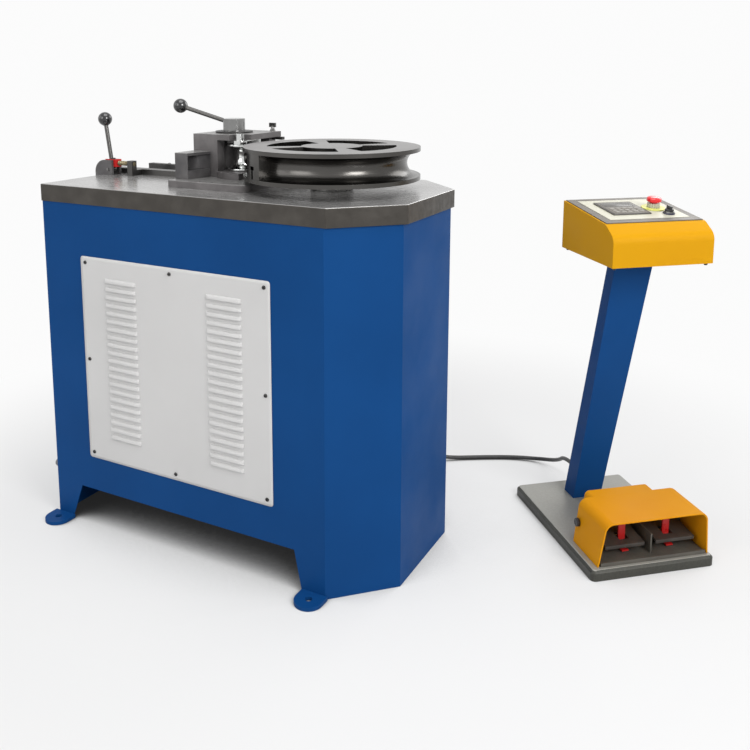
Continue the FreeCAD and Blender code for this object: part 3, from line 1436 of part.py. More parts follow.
def stand():
    """Heavy floor plate and the leaning hollow column."""
    plinth = prism("plinth_plan", "XY_Plane", [
        ("-plinth_half_width", "0"), ("plinth_half_width", "0"),
        ("plinth_half_width", "plinth_depth"), ("-plinth_half_width", "plinth_depth")],
        "plinth_height")
    round_edges(plinth, "plinth_corners", "plinth_corner", lambda edge: is_along(edge, "Z"))
    round_edges(plinth, "plinth_edge", "plinth_bevel",
                lambda edge: edge.BoundBox.ZMin > size("plinth_height") - 0.1, "Chamfer")
    node("pedestal_base", [plinth], pedestal=True)

    def section(half, front, depth, inset):
        return [(f"-{half} + {inset}", f"{front} + {inset}"), (f"{half} - {inset}", f"{front} + {inset}"),
                (f"{half} - {inset}", f"{front} + {depth} - {inset}"),
                (f"-{half} + {inset}", f"{front} + {depth} - {inset}")]

    body = document.addObject("PartDesign::Body", "column_tube")
    for kind, inset in (("AdditiveLoft", "0"), ("SubtractiveLoft", "column_wall")):
        foot = outline(body, f"column_foot_{kind}", "XY_Plane",
                       section("column_foot_half", "column_foot_front", "column_foot_depth", inset),
                       "plinth_height")
        head = outline(body, f"column_head_{kind}", "XY_Plane",
                       section("column_head_half", "column_head_front", "column_head_depth", inset),
                       "box_bottom")
        loft = body.newObject(f"PartDesign::{kind}", f"column_{kind}")
        loft.Profile = foot
        loft.Sections = [head]
        loft.Ruled = True
        document.recompute()
    boss = rod("column_boss", "gland_radius + column_boss_wall", "gland_boss + column_wall",
               ("column_gland_x", f"{COLUMN_REAR} - column_wall", "column_gland_z"), "Y")
    bore = rod("column_boss_bore", "gland_bore + gland_hole_play", "gland_boss + 4 * column_wall",
               ("column_gland_x", f"{COLUMN_REAR} - 3 * column_wall", "column_gland_z"), "Y")
    node("column", [carve("column_body", join("column_blank", [body, boss]), [bore])], pedestal=True)


def control_box():
    """Yellow sheet box with a sloping top, its floor, and the corner screws."""
    def side(inset, low):
        """The box's side view, moved inwards by one wall."""
        share = f"{inset} / (1 + cos({BROW_TEXT} - {TILT_TEXT}))"
        return [(f"box_front + {inset}", low),
                (f"box_front + {inset}",
                 f"box_bottom + box_front_height - {inset} * cos({BROW_TEXT}) / (1 + sin({BROW_TEXT}))"),
                (f"box_front + box_brow + {share} * (sin({BROW_TEXT}) + sin({TILT_TEXT}))",
                 f"box_bottom + box_brow_height - {share} * (cos({BROW_TEXT}) + cos({TILT_TEXT}))"),
                (f"box_front + box_depth - {inset}",
                 f"box_bottom + box_back_height - {inset} * cos({TILT_TEXT}) / (1 - sin({TILT_TEXT}))"),
                (f"box_front + box_depth - {inset}", low)]

    def bend(edge):
        box = edge.BoundBox
        return is_along(edge, "X") and box.YMin < size("box_front") + size("box_brow") + 5 \
            and box.ZMin > size("box_bottom") + 20

    outer = prism("box_outer", "YZ_Plane", side("0", "box_bottom"), "2 * box_half_width",
                  "-box_half_width")
    round_edges(outer, "box_outer_bends", "box_bend_radius", bend)
    inner = prism("box_inner", "YZ_Plane", side("box_wall", "box_bottom - overcut"),
                  "2 * (box_half_width - box_wall)", "-(box_half_width - box_wall)")
    round_edges(inner, "box_inner_bends", "box_bend_radius - box_wall", bend)
    holes = switch_holes("box", "-box_wall - overcut", "box_wall + 2 * overcut")
    node("box_shell", [carve("box_shell_body", outer, [inner] + holes)], pedestal=True)
    floor = block("box_floor_plate",
                  ("-box_half_width + box_wall + running_gap", "box_front + box_wall + running_gap",
                   "box_bottom"),
                  ("2 * (box_half_width - box_wall - running_gap)",
                   "box_depth - 2 * (box_wall + running_gap)", "box_floor"))
    node("box_floor", [floor], pedestal=True)
    screws = []
    for x in ("-box_half_width + box_screw_inset", "box_half_width - box_screw_inset"):
        for y in ("box_front + box_screw_inset", "box_front + box_depth - box_screw_inset"):
            screws.append(rod(f"box_screw_{len(screws)}", "box_screw_radius", "box_screw_length",
                              (x, y, "box_bottom - box_screw_length")))
    node("box_screws", screws, pedestal=True)


def control_panel():
    """Grey frame plate, cream overlay, display, stop button and selector."""
    frame = block("panel_frame_plate_blank", on_panel("-panel_frame_half", "panel_frame_margin", "0"),
                  ("2 * panel_frame_half", "panel_frame_length", "panel_frame_plate"), TILTED)
    frame_holes = switch_holes("frame", "-overcut", "panel_frame_plate + 2 * overcut")
    node("panel_frame", [carve("panel_frame_body", frame, frame_holes)], pedestal=True)
    overlay = block("panel_overlay_blank",
                    on_panel("-panel_frame_half + overlay_margin",
                             "panel_frame_margin + overlay_margin", "panel_frame_plate"),
                    ("2 * (panel_frame_half - overlay_margin)",
                     "panel_frame_length - 2 * overlay_margin", "overlay_plate"), TILTED)
    overlay_holes = switch_holes("overlay", "panel_frame_plate - overcut", "overlay_plate + 2 * overcut")
    node("panel_overlay", [carve("panel_overlay_body", overlay, overlay_holes)], pedestal=True)
    face = "panel_frame_plate + overlay_plate"
    bezel = block("display_bezel",
                  on_panel("display_x - display_half_width", "display_along - display_half_length", face),
                  ("2 * display_half_width", "2 * display_half_length", "display_plate"), TILTED)
    case = block("display_case",
                 on_panel("display_x - display_half_width + bezel_lap",
                          "display_along - display_half_length + bezel_lap", f"{face} - switch_depth"),
                 ("2 * (display_half_width - bezel_lap)", "2 * (display_half_length - bezel_lap)",
                  "switch_depth"), TILTED)
    node("display", [join("display_body", [bezel, case])], pedestal=True)

    collar = join("estop_collar_blank", [
        panel_rod("estop_disc", "estop_collar_radius", "estop_plate", "estop_x", "estop_along", face),
        panel_rod("estop_sleeve", "estop_sleeve_radius", "estop_collar_height", "estop_x",
                  "estop_along", face),
        panel_rod("estop_body", "switch_body_radius", "switch_depth", "estop_x", "estop_along",
                  f"{face} - switch_depth"),
    ])
    room = panel_rod("estop_room", "estop_stem_radius + running_gap",
                     "estop_collar_height + estop_room_depth + overcut", "estop_x", "estop_along",
                     f"{face} - estop_room_depth")
    node("estop_collar", [carve("estop_collar_body", collar, [room])], pedestal=True)
    cap_low = f"{face} + estop_collar_height + estop_push + estop_gap"
    cap = cone("estop_cap", "estop_radius - estop_bevel", "estop_radius", "estop_flare_height",
               on_panel("estop_x", "estop_along", cap_low), rotation=SQUARE_TO_PANEL)
    crown = cone("estop_crown", "estop_radius", "estop_radius - estop_bevel",
                 "estop_cap_height - estop_flare_height",
                 on_panel("estop_x", "estop_along", f"{cap_low} + estop_flare_height"),
                 rotation=SQUARE_TO_PANEL)
    stem = panel_rod("estop_stem", "estop_stem_radius",
                     "estop_stem_tail + estop_collar_height + estop_push + estop_gap + overlap",
                     "estop_x", "estop_along", f"{face} - estop_stem_tail")
    node("estop_button", [join("estop_button_body", [cap, crown, stem])], pedestal=True)

    base = join("selector_blank", [
        panel_rod("selector_ring", "selector_radius", "selector_height", "selector_x",
                  "selector_along", face),
        panel_rod("selector_body", "switch_body_radius", "switch_depth", "selector_x",
                  "selector_along", f"{face} - switch_depth"),
    ])
    well = panel_rod("selector_well", "selector_post_radius + running_gap",
                     "selector_well_depth + selector_height + overcut", "selector_x", "selector_along",
                     f"{face} - selector_well_depth")
    node("selector_base", [carve("selector_base_body", base, [well])], pedestal=True)
    knob_low = f"{face} + selector_height + selector_gap"
    disc = panel_rod("selector_knob_disc", "selector_knob_radius", "selector_disc_height", "selector_x",
                     "selector_along", knob_low)
    grip = block("selector_grip",
                 on_panel("selector_x - selector_grip_width / 2", "selector_along - selector_knob_radius",
                          f"{knob_low} + selector_disc_height - overlap"),
                 ("selector_grip_width", "2 * selector_knob_radius",
                  "selector_knob_height - selector_disc_height + overlap"), TILTED)
    post = panel_rod("selector_post", "selector_post_radius",
                     "selector_post_tail + selector_height + overlap", "selector_x", "selector_along",
                     f"{face} - selector_post_tail")
    node("selector_knob", [join("selector_knob_body", [disc, grip, post])], pedestal=True)


def foot_guard():
    """Yellow hood over the pedals: tapering walls, open front, raised back step."""
    deck = "plinth_height"

    def hood(inset, height, low):
        slope = "((guard_foot_half - guard_top_half) / guard_height)"
        return [(f"guard_middle - guard_foot_half - {slope} * ({deck} - ({low})) + {inset}", low),
                (f"guard_middle + guard_foot_half + {slope} * ({deck} - ({low})) - {inset}", low),
                (f"guard_middle + guard_top_half - {inset}", f"{deck} + {height}"),
                (f"guard_middle - guard_top_half + {inset}", f"{deck} + {height}")]

    def shoulder(edge):
        return is_along(edge, "Y") and edge.BoundBox.ZMin > size("plinth_height") + 50

    outer = prism("guard_outer", "XZ_Plane", hood("0", "guard_height", deck),
                  "guard_rear - guard_front + guard_brow", "-guard_rear")
    round_edges(outer, "guard_outer_shoulders", "guard_corner", shoulder)
    inner = prism("guard_inner", "XZ_Plane",
                  hood("guard_wall", "guard_height - guard_wall", f"{deck} - overcut"),
                  "guard_rear - guard_wall - guard_front + guard_brow + overcut",
                  "-(guard_rear - guard_wall)")
    round_edges(inner, "guard_inner_shoulders", "guard_corner - guard_wall", shoulder)
    mouth = prism("guard_mouth_cut", "YZ_Plane", [
        ("guard_front - guard_brow - guard_rear", f"{deck} - overcut"),
        ("guard_front", f"{deck} - overcut"),
        ("guard_front", deck),
        ("guard_front - guard_brow", f"{deck} + guard_height"),
        ("guard_front - guard_brow", f"{deck} + guard_height + overcut"),
        ("guard_front - guard_brow - guard_rear", f"{deck} + guard_height + overcut")],
        "4 * guard_foot_half", "-2 * guard_foot_half")
    hump = prism("guard_hump", "XZ_Plane", [
        ("guard_back_left - guard_back_flare", deck), ("guard_back_right + guard_back_flare", deck),
        ("guard_back_right", f"{deck} + guard_back_height"),
        ("guard_back_left", f"{deck} + guard_back_height")],
        "guard_back_rear - guard_step_front", "-guard_back_rear")
    round_edges(hump, "guard_hump_corners", "guard_back_corner", lambda edge: is_along(edge, "Y")
                and edge.BoundBox.ZMin > size("plinth_height") + 50)
    hump_room = prism("guard_hump_room", "XZ_Plane", [
        ("guard_back_left - guard_back_flare + guard_wall", f"{deck} - overcut"),
        ("guard_back_right + guard_back_flare - guard_wall", f"{deck} - overcut"),
        ("guard_back_right - guard_wall", f"{deck} + guard_back_height - guard_wall"),
        ("guard_back_left + guard_wall", f"{deck} + guard_back_height - guard_wall")],
        "guard_back_rear - guard_step_front - 2 * guard_wall", "-(guard_back_rear - guard_wall)")
    skin = join("guard_skin", [outer, hump])
    node("foot_guard", [carve("foot_guard_body", skin, [inner, mouth, hump_room])], pedestal=True)

    slope = "((guard_foot_half - guard_top_half) / guard_height)"
    half_at_screw = f"(guard_foot_half - {slope} * (guard_screw_z - guard_screw_radius - {deck}))"
    screws = [
        rod("guard_screw_left", "guard_screw_radius", "guard_screw_height",
            (f"guard_middle - {half_at_screw} - guard_screw_height", "guard_screw_y", "guard_screw_z"),
            "X"),
        rod("guard_screw_right", "guard_screw_radius", "guard_screw_height",
            (f"guard_middle + {half_at_screw}", "guard_screw_y", "guard_screw_z"), "X"),
    ]
    node("guard_screws", screws, pedestal=True)


def foot_switch():
    """Tray with two hinged pedals on one axle and a safety latch in each pedal."""
    deck = "plinth_height"
    floor_top = "plinth_height + tray_plate"
    tray = [
        block("tray_floor", ("guard_middle - tray_half", "tray_front", deck),
              ("2 * tray_half", "tray_rear - tray_front", "tray_plate")),
        block("tray_front_lip", ("guard_middle - tray_half", "tray_front", deck),
              ("2 * tray_half", "tray_lip_plate", "tray_lip")),
        block("tray_divider",
              ("pedal_middle - divider_half", "tray_front + divider_gap", floor_top),
              ("2 * divider_half", "tray_rear - tray_front - divider_gap", "divider_height")),
    ]
    for x in ("pedal_middle - ear_half", "pedal_middle + ear_half"):
        tray.append(block(f"tray_ear_{len(tray)}",
                          (f"{x} - tray_ear_half", "pedal_axle_y - tray_ear_front", floor_top),
                          ("2 * tray_ear_half", "tray_ear_depth",
                           f"pedal_axle_z + tray_ear_rim - ({floor_top})")))
    for latch_x in ("latch_left_x", "latch_right_x"):
        for side in ("- latch_half - latch_post_gap - latch_post_plate", "+ latch_half + latch_post_gap"):
            tray.append(block(f"latch_post_{len(tray)}",
                              (f"{latch_x} {side}", "latch_y - latch_post_half", floor_top),
                              ("latch_post_plate", "2 * latch_post_half",
                               f"latch_pivot_z + latch_post_rim - ({floor_top})")))
        tray.append(rod(f"latch_pin_{len(tray)}", "latch_pin_radius",
                        "2 * (latch_half + latch_post_gap + latch_post_plate)",
                        (f"{latch_x} - latch_half - latch_post_gap - latch_post_plate", "latch_y",
                         "latch_pivot_z"), "X"))
    axle_hole = rod("tray_axle_hole", "pedal_axle_radius", "2 * (ear_half + pedal_axle_tail)",
                    ("pedal_middle - ear_half - pedal_axle_tail", "pedal_axle_y",
                     "pedal_axle_z"), "X")
    node("pedal_tray", [carve("pedal_tray_body", join("pedal_tray_blank", tray), [axle_hole])],
         pedestal=True)
    node("pedal_axle", [rod("pedal_axle_rod", "pedal_axle_radius", "2 * (ear_half + pedal_axle_tail)",
                            ("pedal_middle - ear_half - pedal_axle_tail", "pedal_axle_y",
                             "pedal_axle_z"), "X")], pedestal=True)

    for side in ("left", "right"):
        middle = f"pedal_{side}_x"
        latch_x = f"latch_{side}_x"
        slope = FreeCAD.Rotation(ALONG["X"], size("pedal_slope"))
        reach = "(pedal_axle_y - pedal_front)"
        run_y = "cos(pedal_slope)"
        run_z = "sin(pedal_slope)"
        plate = block(f"pedal_{side}_plate",
                      (f"{middle} - pedal_half", f"pedal_axle_y - {reach} * {run_y}",
                       f"pedal_axle_z - {reach} * {run_z}"),
                      ("2 * pedal_half", reach, "pedal_plate"), slope)
        lip = block(f"pedal_{side}_lip",
                    (f"{middle} - pedal_half",
                     f"pedal_axle_y - {reach} * {run_y} + pedal_lip_drop * {run_z}",
                     f"pedal_axle_z - {reach} * {run_z} - pedal_lip_drop * {run_y}"),
                    ("2 * pedal_half", "pedal_lip_plate", "pedal_lip_height"), slope)
        hub = rod(f"pedal_{side}_hub", "pedal_hub_radius", "2 * pedal_half",
                  (f"{middle} - pedal_half", "pedal_axle_y", "pedal_axle_z"), "X")
        bore = rod(f"pedal_{side}_bore", "pedal_axle_radius + running_gap", "2 * pedal_half + 2 * overcut",
                   (f"{middle} - pedal_half - overcut", "pedal_axle_y", "pedal_axle_z"), "X")
        slot = block(f"pedal_{side}_slot",
                     (f"{latch_x} - latch_slot_half", "latch_y - latch_slot_length / 2", floor_top),
                     ("2 * latch_slot_half", "latch_slot_length", "pedal_axle_rise"))
        node(f"pedal_{side}", [carve(f"pedal_{side}_body", join(f"pedal_{side}_blank", [plate, lip, hub]),
                                     [bore, slot])], pedestal=True)

        bar = block(f"latch_{side}_bar", (f"{latch_x} - latch_half", "latch_y - latch_plate / 2",
                                          "latch_pivot_z"),
                    ("2 * latch_half", "latch_plate", "latch_top - latch_pivot_z"))
        eye = rod(f"latch_{side}_eye", "latch_eye_radius", "2 * latch_half",
                  (f"{latch_x} - latch_half", "latch_y", "latch_pivot_z"), "X")
        toe = block(f"latch_{side}_toe", (f"{latch_x} - latch_half", "latch_y - latch_toe",
                                          "latch_pivot_z - latch_toe_drop"),
                    ("2 * latch_half", "latch_toe", "latch_toe_plate"))
        hole = rod(f"latch_{side}_hole", "latch_pin_radius + running_gap", "2 * latch_half + 2 * overcut",
                   (f"{latch_x} - latch_half - overcut", "latch_y", "latch_pivot_z"), "X")
        node(f"latch_{side}", [carve(f"latch_{side}_body", join(f"latch_{side}_blank", [bar, eye, toe]),
                                     [hole])], pedestal=True)


def pedestal_point(x, y, z):
    """A point of the pedestal's own frame, in the frame of the whole object."""
    turn = math.radians(size("pedestal_turn"))
    return FreeCAD.Vector(size("pedestal_x") + x * math.cos(turn) - y * math.sin(turn),
                          size("pedestal_y") + x * math.sin(turn) + y * math.cos(turn), z)


def control_cable():
    """The cable from the machine's rear gland, over the floor, to the column's gland."""
    gland_length = size("gland_nut_length") + size("gland_dome_length")
    start = FreeCAD.Vector(size("gland_x"),
                           size("top_half_width") - size("overhang") + gland_length, size("gland_z"))
    lean = (size("column_foot_front") + size("column_foot_depth") - size("column_head_front")
            - size("column_head_depth")) / (size("box_bottom") - size("plinth_height"))
    rear = size("column_foot_front") + size("column_foot_depth") \
        - lean * (size("column_gland_z") - size("plinth_height")) + size("gland_boss") + gland_length
    end = pedestal_point(size("column_gland_x"), rear, size("column_gland_z"))
    before_end = pedestal_point(size("column_gland_x"), rear + size("cable_end_run"), size("column_gland_z"))
    route = [
        start,
        FreeCAD.Vector(start.x, start.y + size("cable_start_run"), start.z),
        FreeCAD.Vector(308, 438, 92),
        FreeCAD.Vector(342, 505, 32),
        FreeCAD.Vector(414, 562, 8),
        FreeCAD.Vector(505, 620, 7),
        FreeCAD.Vector(600, 672, 7),
        FreeCAD.Vector(682, 690, 11),
        FreeCAD.Vector(750, 653, 36),
        before_end,
        end,
    ]
    edges = []
    here = route[0]
    for before, corner, after in zip(route, route[1:], route[2:]):
        back = (before - corner).normalize()
        forth = (after - corner).normalize()
        turn = math.pi - back.getAngle(forth)
        reach = 0.45 * min(before.distanceToPoint(corner), after.distanceToPoint(corner))
        radius = reach / math.tan(turn / 2)
        arc_start = corner + back * reach
        arc_end = corner + forth * reach
        half = (back + forth).normalize()
        arc_middle = corner + half * (math.hypot(radius, reach) - radius)
        edges.append(Part.LineSegment(here, arc_start).toShape())
        edges.append(Part.Arc(arc_start, arc_middle, arc_end).toShape())
        here = arc_end
        print(f"cable bend radius {radius:.0f} mm")
    edges.append(Part.LineSegment(here, route[-1]).toShape())
    path = Part.Wire(edges)
    section = Part.Wire(Part.makeCircle(size("cord_radius"), route[0], route[1] - route[0]))
    tube = path.makePipeShell([section], True, False)
    expected = math.pi * size("cord_radius") ** 2 * path.Length
    print(f"cable length {path.Length:.0f} mm, volume {tube.Volume:.0f}, expected {expected:.0f}")
    node("control_cable", [shaped("control_cable_tube", tube)])


stand()
control_box()
control_panel()
foot_guard()
foot_switch()
control_cable()


def main():
    document.recompute()
    broken = [item.Name for item in document.Objects
              if "Invalid" in item.State or "Error" in item.State]
    for item in NODES:
        if item.Shape.isNull() or not item.Shape.isValid() or not item.Shape.Solids:
            broken.append(item.Label)
    if broken:
        raise SystemExit("failed: " + ", ".join(broken))
    os.makedirs("parts", exist_ok=True)
    for item in NODES:
        item.Shape.exportStep(f"parts/{item.Label}.step")
    print(f"{len(NODES)} sub-parts written")


main()
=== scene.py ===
"""Looks of the motorized pipe bender: finishes, fine forms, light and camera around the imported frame."""
import bmesh
import bpy
import json
import math
from mathutils import Matrix, Vector


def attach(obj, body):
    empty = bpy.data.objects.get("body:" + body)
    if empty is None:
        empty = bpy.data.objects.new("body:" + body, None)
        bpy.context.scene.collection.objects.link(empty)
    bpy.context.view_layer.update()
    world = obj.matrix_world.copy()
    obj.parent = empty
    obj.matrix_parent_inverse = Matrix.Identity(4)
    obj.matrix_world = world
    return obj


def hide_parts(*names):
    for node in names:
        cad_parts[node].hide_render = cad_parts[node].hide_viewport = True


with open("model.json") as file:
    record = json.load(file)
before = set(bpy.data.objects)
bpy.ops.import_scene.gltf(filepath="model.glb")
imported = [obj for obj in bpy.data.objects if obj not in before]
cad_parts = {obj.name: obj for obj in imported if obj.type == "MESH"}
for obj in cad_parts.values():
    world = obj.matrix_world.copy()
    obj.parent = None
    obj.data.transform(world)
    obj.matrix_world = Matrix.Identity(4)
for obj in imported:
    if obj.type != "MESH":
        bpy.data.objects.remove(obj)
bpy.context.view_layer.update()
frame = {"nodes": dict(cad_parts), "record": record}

MM = 0.001
NODES = frame["nodes"]
BODY_OF = {
    node: body
    for body, members in frame["record"]["behaviour"]["bodies"].items()
    for node in members
}


# Surfaces

def new_node(tree, kind, values=None, **settings):
    """A shader node with its settings and the values of its unlinked sockets."""
    node = tree.nodes.new(kind)
    for key, value in settings.items():
        setattr(node, key, value)
    for socket, value in (values or {}).items():
        node.inputs[socket].default_value = value
    return node


def map_range(tree, value, start, stop, low, high, **settings):
    """A value that runs from start to stop, mapped to low to high."""
    node = new_node(tree, "ShaderNodeMapRange", {"From Min": start, "From Max": stop, "To Min": low, "To Max": high},
                    **settings)
    tree.links.new(value, node.inputs["Value"])
    return node.outputs["Result"]


class Surface:
    """A Principled material and the few nodes that give it its grain."""

    def __init__(self, name, colour, roughness=0.4, metallic=0.0, **sockets):
        self.material = bpy.data.materials.new(name)
        self.material.use_nodes = True
        self.tree = self.material.node_tree
        self.shader = self.tree.nodes["Principled BSDF"]
        self.place = self.tree.nodes.new("ShaderNodeTexCoord").outputs["Object"]
        self.colour = (*colour, 1.0)
        self.shader.inputs["Base Color"].default_value = self.colour
        self.shader.inputs["Roughness"].default_value = roughness
        self.shader.inputs["Metallic"].default_value = metallic
        for socket, value in sockets.items():
            self.shader.inputs[socket.replace("_", " ").title().replace("Ior", "IOR")].default_value = value

    def add(self, kind, values=None, **settings):
        return new_node(self.tree, kind, values, **settings)

    def link(self, output, target):
        self.tree.links.new(output, target)

    def noise(self, scale, detail=3.0, stretch=(1, 1, 1), centre=None):
        """Noise over the object, in cycles per metre, stretched along chosen axes or run round an upright axis."""
        mapping = self.add("ShaderNodeMapping", {"Scale": stretch})
        self.link(self.place if centre is None else self.from_axis(centre), mapping.inputs["Vector"])
        noise = self.add("ShaderNodeTexNoise", {"Scale": scale, "Detail": detail})
        self.link(mapping.outputs["Vector"], noise.inputs["Vector"])
        return noise.outputs["Fac"]

    def from_axis(self, centre):
        """Distance from an upright axis, as a vector whose X is the radius."""
        away = self.add("ShaderNodeVectorMath", {1: (*centre, 0)}, operation="SUBTRACT")
        self.link(self.place, away.inputs[0])
        flat = self.add("ShaderNodeVectorMath", {1: (1, 1, 0)}, operation="MULTIPLY")
        self.link(away.outputs["Vector"], flat.inputs[0])
        length = self.add("ShaderNodeVectorMath", operation="LENGTH")
        self.link(flat.outputs["Vector"], length.inputs[0])
        joined = self.add("ShaderNodeCombineXYZ")
        self.link(length.outputs["Value"], joined.inputs["X"])
        return joined.outputs["Vector"]

    def tint(self, value, other, start=0.3, stop=0.7, share=1.0):
        """Mixes another colour in where the value is high."""
        mix = self.add("ShaderNodeMix", data_type="RGBA")
        self.link(map_range(self.tree, value, start, stop, 0.0, share), mix.inputs["Factor"])
        source = self.shader.inputs["Base Color"]
        if source.is_linked:
            self.link(source.links[0].from_socket, mix.inputs["A"])
        else:
            mix.inputs["A"].default_value = self.colour
        mix.inputs["B"].default_value = (*other, 1.0)
        self.link(mix.outputs["Result"], source)

    def rough(self, value, low, high):
        """Varies the roughness between two values."""
        self.link(map_range(self.tree, value, 0.3, 0.7, low, high), self.shader.inputs["Roughness"])

    def bump(self, value, height, strength):
        """Relief of a given height in metres."""
        node = self.add("ShaderNodeBump", {"Distance": height, "Strength": strength})
        self.link(value, node.inputs["Height"])
        self.link(node.outputs["Normal"], self.shader.inputs["Normal"])


def enamel(name, colour, shade, roughness=0.44, specular=0.06):
    """Sprayed enamel: slight orange peel, faint tone changes and handling marks."""
    s = Surface(name, colour, roughness, specular_ior_level=specular)
    s.tint(s.noise(3.0, 4.0), shade)
    s.rough(s.noise(9.0, 5.0), roughness - 0.06, roughness + 0.1)
    s.bump(s.noise(420.0, 2.0), 0.00012, 0.35)
    return s


def steel(name, colour, other, roughness, grain=(1, 60, 60), scale=30.0, centre=None, metallic=1.0):
    """Ground, drawn or turned steel with fine lines along one direction or round an axis."""
    s = Surface(name, colour, roughness, metallic)
    lines = s.noise(scale, 4.0, grain, centre)
    s.tint(s.noise(7.0, 4.0), other)
    s.rough(lines, roughness - 0.07, roughness + 0.12)
    s.bump(lines, 0.00008, 0.5)
    return s


def machined(name, colour, worn, roughness=0.42, metallic=0.6):
    """Dark machined casting or blackened steel with worn patches."""
    s = Surface(name, colour, roughness, metallic)
    s.tint(s.noise(18.0, 6.0), worn, 0.45, 0.75)
    s.rough(s.noise(60.0, 4.0), roughness - 0.08, roughness + 0.14)
    s.bump(s.noise(700.0, 3.0), 0.00010, 0.5)
    return s


def moulded(name, colour, roughness=0.4, grain=900.0, height=0.00006, **sockets):
    """Moulded plastic or rubber with its fine texture."""
    s = Surface(name, colour, roughness, **sockets)
    s.rough(s.noise(25.0, 3.0), roughness - 0.05, roughness + 0.08)
    s.bump(s.noise(grain, 2.0), height, 0.4)
    return s


FORMER_AXIS = (0.305, 0.0)
SURFACES = {
    "blue": enamel("blue_enamel", (0.0055, 0.058, 0.205), (0.0045, 0.049, 0.175)),
    "panel": enamel("white_enamel", (0.60, 0.595, 0.59), (0.56, 0.555, 0.55), 0.45, 0.2),
    "yellow": enamel("yellow_enamel", (0.60, 0.30, 0.005), (0.57, 0.27, 0.005)),
    "guard": enamel("orange_enamel", (0.68, 0.295, 0.006), (0.62, 0.245, 0.005)),
    "top": steel("ground_top", (0.44, 0.435, 0.43), (0.335, 0.33, 0.325), 0.22, (1, 30, 30), 25.0, metallic=0.65),
    "top_edge": machined("scaled_edge", (0.056, 0.051, 0.045), (0.080, 0.073, 0.065), 0.36, 0.75),
    "black_steel": machined("blackened_steel", (0.035, 0.034, 0.034), (0.09, 0.088, 0.085), 0.38, 0.7),
    "grey_casting": machined("grey_casting", (0.115, 0.108, 0.108), (0.17, 0.16, 0.16), 0.46, 0.4),
    "dark_casting": machined("dark_casting", (0.075, 0.072, 0.074), (0.13, 0.125, 0.125), 0.44, 0.4),
    "bright": steel("bright_steel", (0.20, 0.198, 0.193), (0.14, 0.138, 0.134), 0.20, (1, 1, 0.1), 60.0),
    "chrome": Surface("polished_chrome", (0.62, 0.63, 0.62), 0.07, 1.0),
    "turned": steel("turned_steel", (0.098, 0.094, 0.089), (0.068, 0.065, 0.061), 0.22, (1, 1, 1), 900.0, FORMER_AXIS),
    "turned_face": steel("faced_steel", (0.265, 0.26, 0.257), (0.21, 0.206, 0.202), 0.46, (1, 1, 1), 600.0, FORMER_AXIS,
                         0.5),
    "drawn": steel("drawn_steel", (0.115, 0.112, 0.108), (0.085, 0.083, 0.08), 0.34, (1, 1, 1), 500.0),
    "polished": steel("polished_steel", (0.27, 0.27, 0.266), (0.20, 0.20, 0.196), 0.13, (1, 1, 0.1), 40.0),
    "ground_casting": machined("ground_casting", (0.215, 0.21, 0.206), (0.27, 0.265, 0.26), 0.34, 0.5),
    "hobbed": steel("hobbed_steel", (0.30, 0.30, 0.30), (0.22, 0.22, 0.22), 0.32, (60, 60, 1), 20.0),
    "brass": steel("dull_brass", (0.26, 0.22, 0.13), (0.19, 0.16, 0.10), 0.36, (1, 1, 1), 200.0),
    "red": enamel("red_enamel", (0.56, 0.018, 0.016), (0.42, 0.012, 0.012), 0.30, 0.3),
    "ball": moulded("black_ball", (0.008, 0.008, 0.009), 0.12, 700.0, 0.00002, coat_weight=0.5),
    "black_plastic": moulded("black_plastic", (0.02, 0.02, 0.022), 0.36),
    "grey_plastic": moulded("grey_plastic", (0.16, 0.16, 0.17), 0.42),
    "hammered": Surface("hammered_grey", (0.275, 0.27, 0.245), 0.36, 0.2),
    # Painted shade: the pedestal plate's sides take this darker copy of the hammered paint on its top.
    "hammered_edge": Surface("hammered_painted_shade", (0.048, 0.048, 0.041), 0.40, 0.1, specular_ior_level=0.25),
    "tray": machined("tray_grey", (0.085, 0.078, 0.066), (0.12, 0.112, 0.094), 0.45, 0.2),
    "pedal": machined("pedal_grey", (0.060, 0.052, 0.046), (0.095, 0.085, 0.075), 0.40, 0.3),
    "border": moulded("grey_border", (0.115, 0.102, 0.086), 0.46),
    "cream": moulded("cream_overlay", (0.52, 0.505, 0.41), 0.42),
    "bezel": moulded("display_bezel", (0.055, 0.050, 0.044), 0.38),
    "face": moulded("display_face", (0.155, 0.142, 0.122), 0.42),
    "glass": moulded("display_window", (0.085, 0.080, 0.070), 0.22, 900.0, 0.00001),
    "key": moulded("display_key", (0.25, 0.232, 0.205), 0.42),
    "signal": moulded("yellow_ring", (0.60, 0.60, 0.14), 0.38),
    "mushroom": moulded("red_button", (0.72, 0.012, 0.016), 0.25, 900.0, 0.00002, coat_weight=0.3),
    "navy": moulded("dark_collar", (0.022, 0.022, 0.055), 0.25, 900.0, 0.00002, coat_weight=0.3),
    "cable": moulded("cable_sheath", (0.028, 0.028, 0.028), 0.42, 500.0, 0.0001),
    "motor": enamel("motor_enamel", (0.13, 0.15, 0.18), (0.10, 0.12, 0.15)),
}


def finish_special_surfaces():
    """The chrome's faint smears and the cells of the hammered paint."""
    chrome = SURFACES["chrome"]
    chrome.rough(chrome.noise(40.0, 4.0), 0.05, 0.14)
    # The darker copy keeps darker flecks, part of the painted shade on the plate's sides.
    for name, fleck in (("hammered", (0.32, 0.315, 0.285)), ("hammered_edge", (0.07, 0.07, 0.06))):
        hammered = SURFACES[name]
        cells = hammered.add("ShaderNodeTexVoronoi", {"Scale": 210.0}, feature="SMOOTH_F1")
        hammered.link(hammered.place, cells.inputs["Vector"])
        hammered.bump(cells.outputs["Distance"], 0.0006, 0.35)
        hammered.tint(cells.outputs["Distance"], fleck, 0.2, 0.7, 0.5)
        hammered.rough(hammered.noise(8.0, 4.0), 0.30, 0.44)


finish_special_surfaces()


# Forms

